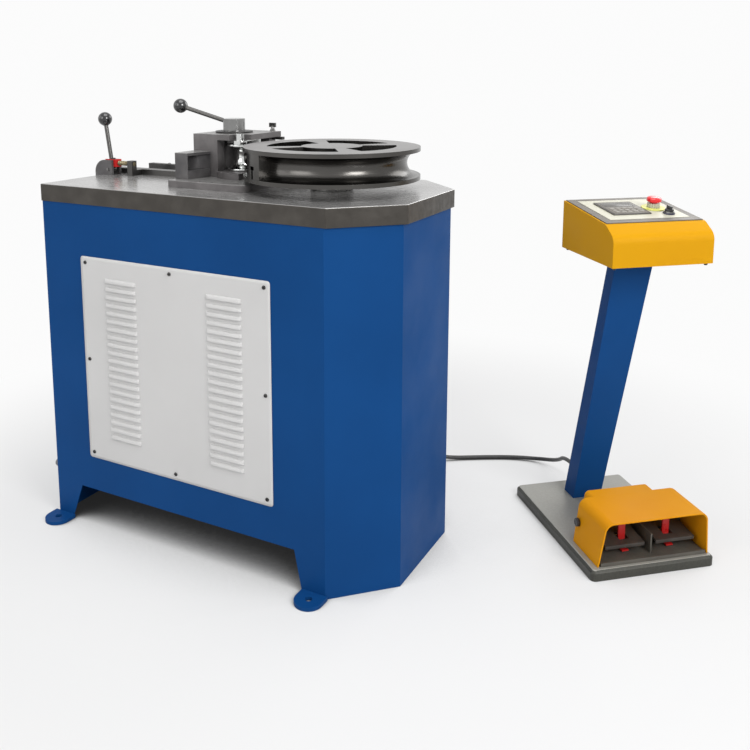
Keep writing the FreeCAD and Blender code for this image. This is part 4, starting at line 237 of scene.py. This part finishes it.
def upright(direction, at):
    """A matrix that puts an upright form at a point, along a direction."""
    return Matrix.Translation(Vector(at)) @ Vector(direction).to_track_quat("Z", "Y").to_matrix().to_4x4()


class Form:
    """The faces of one piece, gathered in millimetres."""

    def __init__(self):
        self.mesh = bmesh.new()

    def add(self, verts, faces, at=Matrix(), slot=0):
        made = [self.mesh.verts.new(at @ Vector(v)) for v in verts]
        for face in faces:
            self.mesh.faces.new([made[i] for i in face]).material_index = slot
        return self

    def lathe(self, profile, at=Matrix(), segments=40, slot=0, flutes=None):
        """Turns a profile of (radius, height) points about Z; flutes=(count, depth) presses grooves in."""
        on_axis = 1e-6
        verts = []
        rows = []
        for radius, height in profile:
            row = []
            if radius < on_axis:
                row = [len(verts)] * segments
                verts.append((0, 0, height))
            else:
                for i in range(segments):
                    angle = math.tau * i / segments
                    r = radius
                    if flutes:
                        r -= flutes[1] * (0.5 + 0.5 * math.cos(flutes[0] * angle)) ** 2
                    row.append(len(verts))
                    verts.append((r * math.cos(angle), r * math.sin(angle), height))
            rows.append(row)
        faces = []
        for low, high in zip(rows, rows[1:]):
            for i in range(segments):
                j = (i + 1) % segments
                face = [low[i], low[j], high[j], high[i]]
                face = [v for k, v in enumerate(face) if v != face[k - 1]]
                if len(face) > 2:
                    faces.append(face)
        return self.add(verts, faces, at, slot)

    def slab(self, size, at=Matrix(), edge=1.0, slot=0, corner=0.0):
        """A block centred on X and Y, resting on Z=0, with rounded upright corners and bevelled rims."""
        half_x, half_y, height = size[0] / 2, size[1] / 2, size[2]
        edge = min(edge, height / 2.2, half_x / 1.2, half_y / 1.2)
        corner = max(corner, edge)
        rings = []
        for inset, level in ((edge, 0), (0, edge), (0, height - edge), (edge * 0.3, height - edge * 0.3),
                             (edge, height)):
            ring = []
            for cx, cy, start in ((1, 1, 0), (-1, 1, 90), (-1, -1, 180), (1, -1, 270)):
                for step in range(5):
                    angle = math.radians(start + 22.5 * step)
                    reach = corner - inset if corner > inset else 0.0
                    ring.append((cx * (half_x - corner) + reach * math.cos(angle),
                                 cy * (half_y - corner) + reach * math.sin(angle), level))
            rings.append(ring)
        verts = [v for ring in rings for v in ring]
        count = len(rings[0])
        faces = [list(range(count))[::-1], list(range((len(rings) - 1) * count, len(rings) * count))]
        for k in range(len(rings) - 1):
            for i in range(count):
                j = (i + 1) % count
                faces.append([k * count + i, k * count + j, (k + 1) * count + j, (k + 1) * count + i])
        return self.add(verts, faces, at, slot)

    def piece(self, name, surfaces, body, node):
        """Makes the object of the form, which stands for a CAD node."""
        bmesh.ops.remove_doubles(self.mesh, verts=self.mesh.verts, dist=1e-4)
        bmesh.ops.recalc_face_normals(self.mesh, faces=self.mesh.faces)
        self.mesh.transform(Matrix.Scale(MM, 4))
        finish_piece(self.mesh, name, surfaces, body, node, 32.0)


def finish_piece(mesh, name, surfaces, body, node, sharp):
    """Makes the object of a gathered mesh, shades it, puts it on its body and lets it stand for its node."""
    for face in mesh.faces:
        face.smooth = True
    for edge in mesh.edges:
        edge.smooth = edge.is_boundary or edge.calc_face_angle(0.0) < math.radians(sharp)
    data = bpy.data.meshes.new(name)
    mesh.to_mesh(data)
    mesh.free()
    piece = bpy.data.objects.new(name, data)
    bpy.context.scene.collection.objects.link(piece)
    for surface in surfaces:
        data.materials.append(SURFACES[surface].material)
    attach(piece, body)
    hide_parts(node)
    return piece


def dress(node, surface, edge, side=None):
    """A finer copy of a CAD solid: its edges are rounded as the real ones are, and it stands for the node.

    What lies below its top face takes the side surface, if one is given.
    """
    mesh = bmesh.new()
    mesh.from_mesh(NODES[node].data)
    bmesh.ops.remove_doubles(mesh, verts=mesh.verts, dist=2e-6)
    bmesh.ops.dissolve_limit(mesh, angle_limit=math.radians(0.4), verts=mesh.verts, edges=mesh.edges)
    edges = [e for e in mesh.edges if e.is_manifold and e.calc_face_angle(0.0) > math.radians(28.0)]
    bmesh.ops.bevel(mesh, geom=edges, offset=edge * MM, offset_type="OFFSET", segments=2, profile=0.6,
                    affect="EDGES", clamp_overlap=True)
    below = max(v.co.z for v in mesh.verts) - 1.1 * edge * MM
    for face in mesh.faces:
        face.material_index = 1 if side and face.calc_center_median().z < below else 0
    piece = finish_piece(mesh, node + "_finished", [surface, side] if side else [surface], BODY_OF[node], node, 40.0)
    normals = piece.modifiers.new("weighted_normals", "WEIGHTED_NORMAL")
    normals.keep_sharp = True


def coat(node, surface):
    """Gives a CAD solid that keeps its own shape its finish."""
    for material_slot in NODES[node].material_slots:
        material_slot.material = SURFACES[surface].material


# Places, in millimetres

PEDESTAL = Matrix.Translation((1115.1, 207.7, 0)) @ Matrix.Rotation(math.radians(41), 4, "Z")
PLATE_TOP = 28
COLUMN_TOP = 784
TILT = math.atan2(126 - 100, 264 - 41)
PANEL = PEDESTAL @ Matrix.Translation((0, 81, 884)) @ Matrix.Rotation(TILT, 4, "X")
PANEL_FACE = 3.5
SHEET_X, SHEET_Y, SHEET_Z = -3, -281, 484
CLAMP_AT = Vector((-18, 27, 1105.15))
CLAMP_TURN, CLAMP_RISE = math.radians(192), math.radians(16.5)
CLAMP_RUN = Vector((math.cos(CLAMP_TURN) * math.cos(CLAMP_RISE), math.sin(CLAMP_TURN) * math.cos(CLAMP_RISE),
                    math.sin(CLAMP_RISE)))
LEVER_AT = Vector((-412, -31, 966))
LEVER_LEAN = math.radians(8.7)
LEVER_RUN = Vector((-math.sin(LEVER_LEAN), 0, math.cos(LEVER_LEAN)))


def on_panel(across, along, height=PANEL_FACE):
    """A place on the control panel, from its middle."""
    return PANEL @ Matrix.Translation((across, along, height))


def louvre_panel():
    """The panel sheet with its pressed hoods: each is pushed out over a slit along its lower edge."""
    left, right, low, high = SHEET_X - 299.5, SHEET_X + 299.5, SHEET_Z - 282, SHEET_Z + 282
    radius, depth, height, end = 8.0, 5.0, 11.0, 6.0
    half_width, column_x, first_row, pitch = 52, 164.5, 272, 21.5
    slit = 0.8
    columns = [(SHEET_X + side * column_x - half_width, SHEET_X + side * column_x + half_width) for side in (-1, 1)]
    rows = [first_row + pitch * i for i in range(21)]
    steps = (0.0, 0.6, 1.6, 3.2, 6.0)
    rises = (0.0, 1.2, 3.0, 5.0, 7.0, 9.0, 10.2, 11.0, 11.8)
    x0, x1, z0, z1 = left + radius, right - radius, low + radius, high - radius
    lines_x, lines_z = {x0, x1}, {z0, z1}
    for a, b in columns:
        lines_x.update([a + s for s in steps] + [b - s for s in steps] + [a - slit, b + slit])
    for z in rows:
        lines_z.update([z + r for r in rises] + [z - slit])
    lines_x, lines_z = sorted(lines_x), sorted(lines_z)

    def hood(x, z):
        """How far the sheet is pushed out at a point, for the hood that the point is in."""
        for a, b in columns:
            if a <= x <= b:
                for foot in rows:
                    if foot <= z <= foot + height:
                        side = min(x - a, b - x, end) / end
                        across = math.sqrt(max(0.0, 1 - (1 - side) ** 2))
                        up = (z - foot) / height
                        return depth * across * math.sqrt(max(0.0, 1 - up ** 2.4))
        return 0.0

    mesh = bmesh.new()
    flat = {}
    pushed = {}

    def vertex(x, z, inside):
        """The point of the sheet: the slit below a hood keeps one on the sheet and one on the hood."""
        push = hood(x, z) if inside else 0.0
        store = pushed if push > 1e-6 else flat
        if (x, z) not in store:
            store[(x, z)] = mesh.verts.new((x, SHEET_Y - push, z))
        return store[(x, z)]

    for xa, xb in zip(lines_x, lines_x[1:]):
        for za, zb in zip(lines_z, lines_z[1:]):
            inside = hood((xa + xb) / 2, (za + zb) / 2) > 0
            mesh.faces.new([vertex(x, z, inside) for x, z in ((xa, za), (xb, za), (xb, zb), (xa, zb))])

    def corner(x, z, turn):
        """The points of a rounded corner, each after the inner point that it is joined to."""
        return [((x, z), (x + radius * math.cos(turn + a), z + radius * math.sin(turn + a)))
                for a in map(math.radians, (22.5, 45, 67.5))]

    ring = [((x, z0), (x, low)) for x in lines_x] + corner(x1, z0, -math.pi / 2)
    ring += [((x1, z), (right, z)) for z in lines_z] + corner(x1, z1, 0)
    ring += [((x, z1), (x, high)) for x in reversed(lines_x)] + corner(x0, z1, math.pi / 2)
    ring += [((x0, z), (left, z)) for z in reversed(lines_z)] + corner(x0, z0, math.pi)
    outer = [mesh.verts.new((x, SHEET_Y, z)) for _, (x, z) in ring]
    for i in range(len(ring)):
        j = (i + 1) % len(ring)
        inner = [flat[ring[i][0]], flat[ring[j][0]]]
        face = [outer[i], outer[j], inner[1], inner[0]]
        if inner[0] is inner[1]:
            face = face[:3]
        if face[0] is not face[1]:
            mesh.faces.new(face)
    bmesh.ops.remove_doubles(mesh, verts=outer, dist=1e-4)
    bmesh.ops.recalc_face_normals(mesh, faces=mesh.faces)
    middle = max(mesh.faces, key=lambda f: f.calc_area())
    if middle.normal.y > 0:
        bmesh.ops.reverse_faces(mesh, faces=mesh.faces)
    mesh.transform(Matrix.Scale(MM, 4))
    piece = finish_piece(mesh, "louvre_sheet", ["panel"], "machine", "louvre_panel", 50.0)
    thick = piece.modifiers.new("sheet_thickness", "SOLIDIFY")
    thick.thickness = 1.2 * MM
    thick.offset = -1.0


def screw_profile(radius, height, socket=0.45):
    """A domed head with a socket, from the seat up and over."""
    return [(0, height * 0.3), (radius * socket, height * 0.3), (radius * socket, height * 0.96),
            (radius * 0.62, height), (radius * 0.86, height * 0.8), (radius * 0.98, height * 0.45),
            (radius, height * 0.15), (radius, 0)]


def screws():
    """The button heads of the sheet, the rail and the box, and the guard's two knurled knobs."""
    form = Form()
    for across in (-1, 0, 1):
        for up in (-1, 0, 1):
            if across or up:
                at = (SHEET_X + across * 283, SHEET_Y, SHEET_Z + up * 265.5)
                form.lathe(screw_profile(5, 3), upright((0, -1, 0), at), 20)
    form.piece("panel_screw_heads", ["black_steel"], "machine", "panel_screws")

    rail_start, rail_length, rail_y, rail_top = -426, 590, 149, 966
    form = Form()
    for step in range(4):
        x = rail_start + rail_length * (2 * step + 1) / 8
        form.lathe(screw_profile(5, 3), Matrix.Translation((x, rail_y, rail_top)), 20)
    form.piece("rail_screw_heads", ["bright"], "machine", "rail_screws")

    form = Form()
    for x in (-123.5, 123.5):
        for y in (52, 292):
            at = PEDESTAL @ Matrix.Translation((x, y, COLUMN_TOP)) @ Matrix.Rotation(math.pi, 4, "X")
            form.lathe(screw_profile(5, 6, 0.4), at, 20)
    form.piece("box_screw_heads", ["black_steel"], "machine", "box_screws")

    knob_radius, knob_level = 11, 88
    guard_foot, guard_top, guard_height = 155, 141, 118
    half = guard_foot - (guard_foot - guard_top) / guard_height * (knob_level - knob_radius - PLATE_TOP)
    form = Form()
    for side in (-1, 1):
        at = (PEDESTAL @ Matrix.Translation((5 + side * half, 130, knob_level))
              @ Matrix.Rotation(side * math.pi / 2, 4, "Y"))
        form.lathe([(0, 8.2), (4, 8.2), (5, 9), (9, 9), (10.8, 7.8), (knob_radius, 6.5), (knob_radius, 1.5), (10, 0),
                    (0, 0)], at, 60, flutes=(12, 1.1))
    form.piece("guard_knobs", ["black_plastic"], "machine", "guard_screws")


def glands():
    """Hexagon nut, ribbed dome and the ring that grips the cable, three times alike."""
    rear_foot, rear_head, level, seat = 355 + 55, 163 + 36, 84, 7
    lean = (rear_foot - rear_head) / (COLUMN_TOP - PLATE_TOP)
    rear = rear_foot - lean * (level - PLATE_TOP) + seat
    form = Form()
    for at in (upright((-1, 0, 0), (-434, -251, 137)), upright((0, 1, 0), (300, 279, 132)),
               PEDESTAL @ upright((0, 1, 0), (2, rear, level))):
        form.lathe([(6, 0), (14.5, 0), (15.9, 1.2), (15.9, 10.8), (14.5, 12), (12, 12)], at, 6)
        form.lathe([(12, 12), (12.8, 12.4), (12.8, 15), (12.2, 18), (11.2, 24), (10.2, 28), (9.2, 29.6), (7.4, 30),
                    (6.2, 29.4), (6.15, 20)], at, 48, flutes=(12, 0.8))
    form.piece("gland_caps", ["grey_plastic"], "machine", "cable_glands")


def ball_knob(name, node, at, direction):
    """A moulded ball with a flat at its foot and a steel ferrule where the rod enters."""
    radius, arcs, lowest = 20.0, 27, -65
    points = [(7.0, -18.6), (8.0, -18.8)]
    for step in range(1, arcs + 1):
        angle = math.radians(lowest + step * (90 - lowest) / arcs)
        points.append((radius * math.cos(angle), radius * math.sin(angle)))
    points.append((0, radius))
    form = Form()
    matrix = upright(direction, at)
    form.lathe(points, matrix, 56)
    form.lathe([(6.0, -19.6), (7.4, -19.6), (7.6, -19.2), (7.6, -17.5), (6.0, -17.5)], matrix, 32, slot=1)
    form.piece(name, ["ball", "bright"], BODY_OF[node], node)


def feed_screw():
    """The rod between the clevis and the bar, with its thread."""
    root, crest, pitch, turns, length = 6.2, 6.95, 2, 28, 58
    profile = [(0, 0), (root, 0)]
    for start in range(0, pitch * turns, pitch):
        profile += [(root, start + 0.5), (crest, start + 1.2), (crest, start + 1.7), (root, start + 2.4)]
    profile += [(root, length), (0, length)]
    form = Form()
    form.lathe(profile, upright((1, 0, 0), (-388, -31, 984)), 28)
    form.piece("feed_screw", ["brass"], "carriage", "feed_rod")


def display_unit():
    """Bezel with a window for the readout and a field of plain keys."""
    x, y = -28, 115
    form = Form()
    form.slab((105, 110, 3), on_panel(x, y), 0.8, 0, 3.0)
    form.slab((95, 100, 0.6), on_panel(x, y, PANEL_FACE + 2.9), 0.2, 3, 2.0)
    form.slab((84, 34, 0.9), on_panel(x, y + 26, PANEL_FACE + 3), 0.3, 1, 1.5)
    for row in (-38, -23, -8):
        for column in (-34, -17, 0, 17, 34):
            form.slab((12, 9, 1.6), on_panel(x + column, y + row, PANEL_FACE + 3.2), 0.5, 2, 1.5)
    form.piece("display_unit", ["bezel", "glass", "key", "face"], "machine", "display")


def stop_button():
    """The mushroom on its fluted sleeve, and the signal ring round it."""
    base = on_panel(58, 111)
    form = Form()
    form.lathe([(0, 0), (29.2, 0), (30, 0.6), (30, 2.2), (29.2, 3), (16, 3.2)], base, 64)
    form.lathe([(16, 3), (16, 13), (15.2, 14), (9.4, 14)], base, 120, slot=1, flutes=(16, 2.4))
    form.piece("stop_ring", ["signal", "cream"], "machine", "estop_collar")
    form = Form()
    form.lathe([(9, -3), (9, 24), (16.6, 24), (16.6, 19.4), (17, 19), (18, 19), (18.4, 19.4), (18.5, 24.5),
                (17.8, 27), (15.5, 29.0), (11, 30.0), (5, 30.4), (0, 30.5)], base, 56)
    form.piece("stop_mushroom", ["mushroom"], "stop_button", "estop_button")


def selector():
    """The dark collar with its bright ring, and the turning grip with its mark."""
    base = on_panel(70, 58)
    form = Form()
    form.lathe([(7.2, 0), (14.4, 0), (15, 0.6), (15, 3.2), (14.4, 3.8), (13.4, 3.8)], base, 48)
    form.lathe([(13.4, 3.6), (13.6, 4.4), (13.2, 6.4), (12.4, 7), (7.2, 7)], base, 48, slot=1)
    form.piece("selector_collar", ["navy", "bright"], "machine", "selector_base")
    form = Form()
    form.lathe([(0, 7.3), (10.4, 7.3), (11, 7.9), (11, 11.6), (10.2, 12.4), (0, 12.4)], base, 48)
    form.lathe([(0, -4), (6.8, -4), (6.8, 7.4)], base, 24)
    form.slab((7, 21, 9), base @ Matrix.Translation((0, 0, 11.2)), 1.6, 0, 3.0)
    form.slab((1.2, 8, 0.6), base @ Matrix.Translation((0, 5.5, 20)), 0.2, 1)
    form.piece("selector_grip", ["black_plastic", "cream"], "selector", "selector_knob")


def control_cable():
    """The cable from the machine's rear gland over the floor to the column."""
    route = [
        (0.300, 0.309, 0.132), (0.300, 0.362, 0.132), (0.308, 0.438, 0.092), (0.342, 0.505, 0.032),
        (0.414, 0.562, 0.008), (0.505, 0.620, 0.007), (0.600, 0.672, 0.007), (0.682, 0.690, 0.011),
        (0.750, 0.653, 0.036), (0.7863, 0.5889, 0.084), (0.8336, 0.5346, 0.084),
    ]
    curve = bpy.data.curves.new("cable_line", "CURVE")
    curve.dimensions = "3D"
    curve.bevel_depth = 0.006
    curve.bevel_resolution = 6
    curve.resolution_u = 24
    curve.use_fill_caps = True
    line = curve.splines.new("NURBS")
    line.points.add(len(route) - 1)
    for point, place in zip(line.points, route):
        point.co = (*place, 1.0)
    line.order_u = 3
    line.use_endpoint_u = True
    cable = bpy.data.objects.new("cable_sheathed", curve)
    bpy.context.scene.collection.objects.link(cable)
    curve.materials.append(SURFACES["cable"].material)
    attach(cable, "machine")
    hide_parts("control_cable")


# What each CAD solid is dressed in: its surface, the size of its rounded edges and what its sides take instead.
DRESSED = {
    "worktop": ("top", 0.7, "top_edge"), "cabinet_shell": ("blue", 1.6), "foot_lugs": ("blue", 0.9),
    "guide_rail": ("black_steel", 0.8), "lever_bracket": ("dark_casting", 1.2), "lever_pin": ("bright", 0.5),
    # The pedestal plate's sides take the darker copy of its hammered paint as painted shade.
    "pedestal_base": ("hammered", 1.6, "hammered_edge"), "column": ("blue", 1.6), "box_shell": ("yellow", 1.2),
    "box_floor": ("black_steel", 0.5), "panel_frame": ("border", 0.6), "panel_overlay": ("cream", 0.25),
    "foot_guard": ("guard", 1.2), "pedal_tray": ("tray", 0.7), "pedal_axle": ("bright", 0.5),
    "former": ("turned_face", 1.2, "turned"), "spindle": ("bright", 0.8), "pipe_hook": ("turned", 0.8),
    "slide_base": ("ground_casting", 0.7, "grey_casting"), "roller_pad": ("grey_casting", 0.8),
    "slide_key": ("drawn", 0.6), "post_block": ("ground_casting", 1.0, "dark_casting"),
    "housing_body": ("grey_casting", 1.0), "housing_cap": ("ground_casting", 1.0, "grey_casting"),
    "push_bar": ("drawn", 0.8),
    "feed_clevis": ("red", 1.0), "roller_yoke": ("chrome", 0.8), "roller_axle": ("chrome", 0.6),
    "counter_roller": ("chrome", 1.2), "clamp_hub": ("polished", 1.4), "clamp_washer": ("black_steel", 1.0),
    "clamp_rod": ("drawn", 0.4), "stop_bar": ("black_steel", 0.6), "stop_screw": ("bright", 0.7),
    "feed_lever": ("drawn", 0.8), "pedal_left": ("pedal", 0.9), "pedal_right": ("pedal", 0.9),
    "latch_left": ("red", 0.8), "latch_right": ("red", 0.8),
}
# Solids that stay as they are and only take a surface.
COATED = {
    "bearing_flange": "grey_casting", "motor_hanger": "black_steel", "gearbox": "grey_casting",
    "motor": "motor", "gear_wheel": "hobbed", "drive_pinion": "hobbed",
}


# Camera, floor and light

BACKGROUND = 0.97
LAMPS_AIM = Vector((0.4, 0.0, 0.5))
LAMPS = (
    ("right", (3.9, -1.6, 2.6), (1.7, 1.7), 112),
    ("left", (-3.4, -2.4, 2.6), (2.4, 2.4), 20),
    ("front", (-1.0, -4.2, 2.6), (2.4, 2.4), 52),
    ("top", (0.6, -0.4, 4.2), (2.6, 2.6), 76),
    ("back", (1.8, 3.6, 2.8), (3.0, 1.6), 44),
)


def camera():
    """The photograph's viewing angle: the lens sees 869.7 pixels per unit of slope in 750."""
    data = bpy.data.cameras.new("camera")
    picture = 750
    data.sensor_width = 36.0
    data.lens = 869.7 / picture * data.sensor_width
    data.shift_x = 25 / picture
    data.shift_y = -0.22
    data.clip_end = 60.0
    eye = bpy.data.objects.new("camera", data)
    bpy.context.scene.collection.objects.link(eye)
    eye.location = (1.3955, -1.9266, 1.2564)
    yaw, pitch = math.radians(28.316), math.radians(9.275)
    eye.rotation_euler = (math.pi / 2 - pitch, 0, yaw)
    bpy.context.scene.camera = eye


def seen_ray(tree):
    """1 on a ray from the camera, off a glossy surface or through glass, 0 on the rays that light the object."""
    path = new_node(tree, "ShaderNodeLightPath")
    mask = path.outputs["Is Camera Ray"]
    for kind in ("Is Glossy Ray", "Is Transmission Ray"):
        either = new_node(tree, "ShaderNodeMath", operation="MAXIMUM")
        tree.links.new(mask, either.inputs[0])
        tree.links.new(path.outputs[kind], either.inputs[1])
        mask = either.outputs["Value"]
    return mask


def mix_shaders(tree, share, first, second, output):
    """Joins two shaders into the output, where share says how much of the second is seen."""
    mix = new_node(tree, "ShaderNodeMixShader")
    tree.links.new(share, mix.inputs["Fac"])
    tree.links.new(first, mix.inputs[1])
    tree.links.new(second, mix.inputs[2])
    tree.links.new(mix.outputs["Shader"], output.inputs["Surface"])


def surroundings():
    """Even white light from all round, with a pale background in front of it for every ray that is seen."""
    world = bpy.data.worlds.new("surroundings")
    bpy.context.scene.world = world
    world.use_nodes = True
    tree = world.node_tree
    light = tree.nodes["Background"]
    light.inputs["Color"].default_value = (1, 1, 1, 1)
    light.inputs["Strength"].default_value = 0.42
    seen = new_node(tree, "ShaderNodeBackground", {"Color": (BACKGROUND,) * 3 + (1,)})
    mix_shaders(tree, seen_ray(tree), light.outputs["Background"], seen.outputs["Background"],
                tree.nodes["World Output"])


def floor():
    """A pale floor that fades into the background, with painted shade darkening its colour and its glow where the
    object stands close over it.
    """
    mesh = bpy.data.meshes.new("floor")
    reach = 14.0
    mesh.from_pydata([(-reach, -reach, 0), (reach, -reach, 0), (reach, reach, 0), (-reach, reach, 0)], [],
                     [(0, 1, 2, 3)])
    plane = bpy.data.objects.new("floor", mesh)
    plane.location = (0.4, 0.1, 0)
    bpy.context.scene.collection.objects.link(plane)
    material = bpy.data.materials.new("pale_floor")
    material.use_nodes = True
    mesh.materials.append(material)
    tree = material.node_tree
    lit = tree.nodes["Principled BSDF"]
    lit.inputs["Roughness"].default_value = 0.9
    glow = new_node(tree, "ShaderNodeEmission")

    spot = new_node(tree, "ShaderNodeTexCoord")
    away = new_node(tree, "ShaderNodeVectorMath", operation="LENGTH")
    tree.links.new(spot.outputs["Object"], away.inputs[0])
    share = new_node(tree, "ShaderNodeMath", operation="MULTIPLY")
    fade = map_range(tree, away.outputs["Value"], 0.95, 1.9, 0.5, 1.0, interpolation_type="SMOOTHSTEP")
    tree.links.new(fade, share.inputs[0])
    tree.links.new(seen_ray(tree), share.inputs[1])

    # Painted shade: ambient occlusion darkens the floor's colour and its glow towards black under and close to the
    # object.
    open_sky = new_node(tree, "ShaderNodeAmbientOcclusion", {"Distance": 0.9})
    unshaded_share = map_range(tree, open_sky.outputs["AO"], 0.12, 0.66, 0.03, 1.0, interpolation_type="SMOOTHSTEP")
    for target, pale in ((lit.inputs["Base Color"], 0.66), (glow.inputs["Color"], BACKGROUND)):
        shade = new_node(tree, "ShaderNodeMix", data_type="RGBA")
        shade.inputs["A"].default_value = (0.0, 0.0, 0.0, 1)
        shade.inputs["B"].default_value = (pale, pale, pale, 1)
        tree.links.new(unshaded_share, shade.inputs["Factor"])
        tree.links.new(shade.outputs["Result"], target)
    mix_shaders(tree, share.outputs["Value"], lit.outputs["BSDF"], glow.outputs["Emission"],
                tree.nodes["Material Output"])


def lamps():
    """Large soft lamps, all aimed at the machine's middle."""
    for name, at, size, power in LAMPS:
        data = bpy.data.lights.new(name, "AREA")
        data.shape = "RECTANGLE"
        data.size, data.size_y = size
        data.energy = power
        lamp = bpy.data.objects.new(name, data)
        bpy.context.scene.collection.objects.link(lamp)
        lamp.location = at
        lamp.rotation_euler = (LAMPS_AIM - Vector(at)).to_track_quat("-Z", "Y").to_euler()


bpy.context.scene.view_settings.view_transform = "Standard"
camera()
surroundings()
floor()
lamps()
control_cable()
for node_name, finish in DRESSED.items():
    dress(node_name, *finish)
for node_name, surface_name in COATED.items():
    coat(node_name, surface_name)
louvre_panel()
screws()
glands()
ball_knob("clamp_ball", "clamp_knob", CLAMP_AT + CLAMP_RUN * 167, CLAMP_RUN)
ball_knob("feed_ball", "feed_knob", LEVER_AT + LEVER_RUN * 146, LEVER_RUN)
feed_screw()
display_unit()
stop_button()
selector()
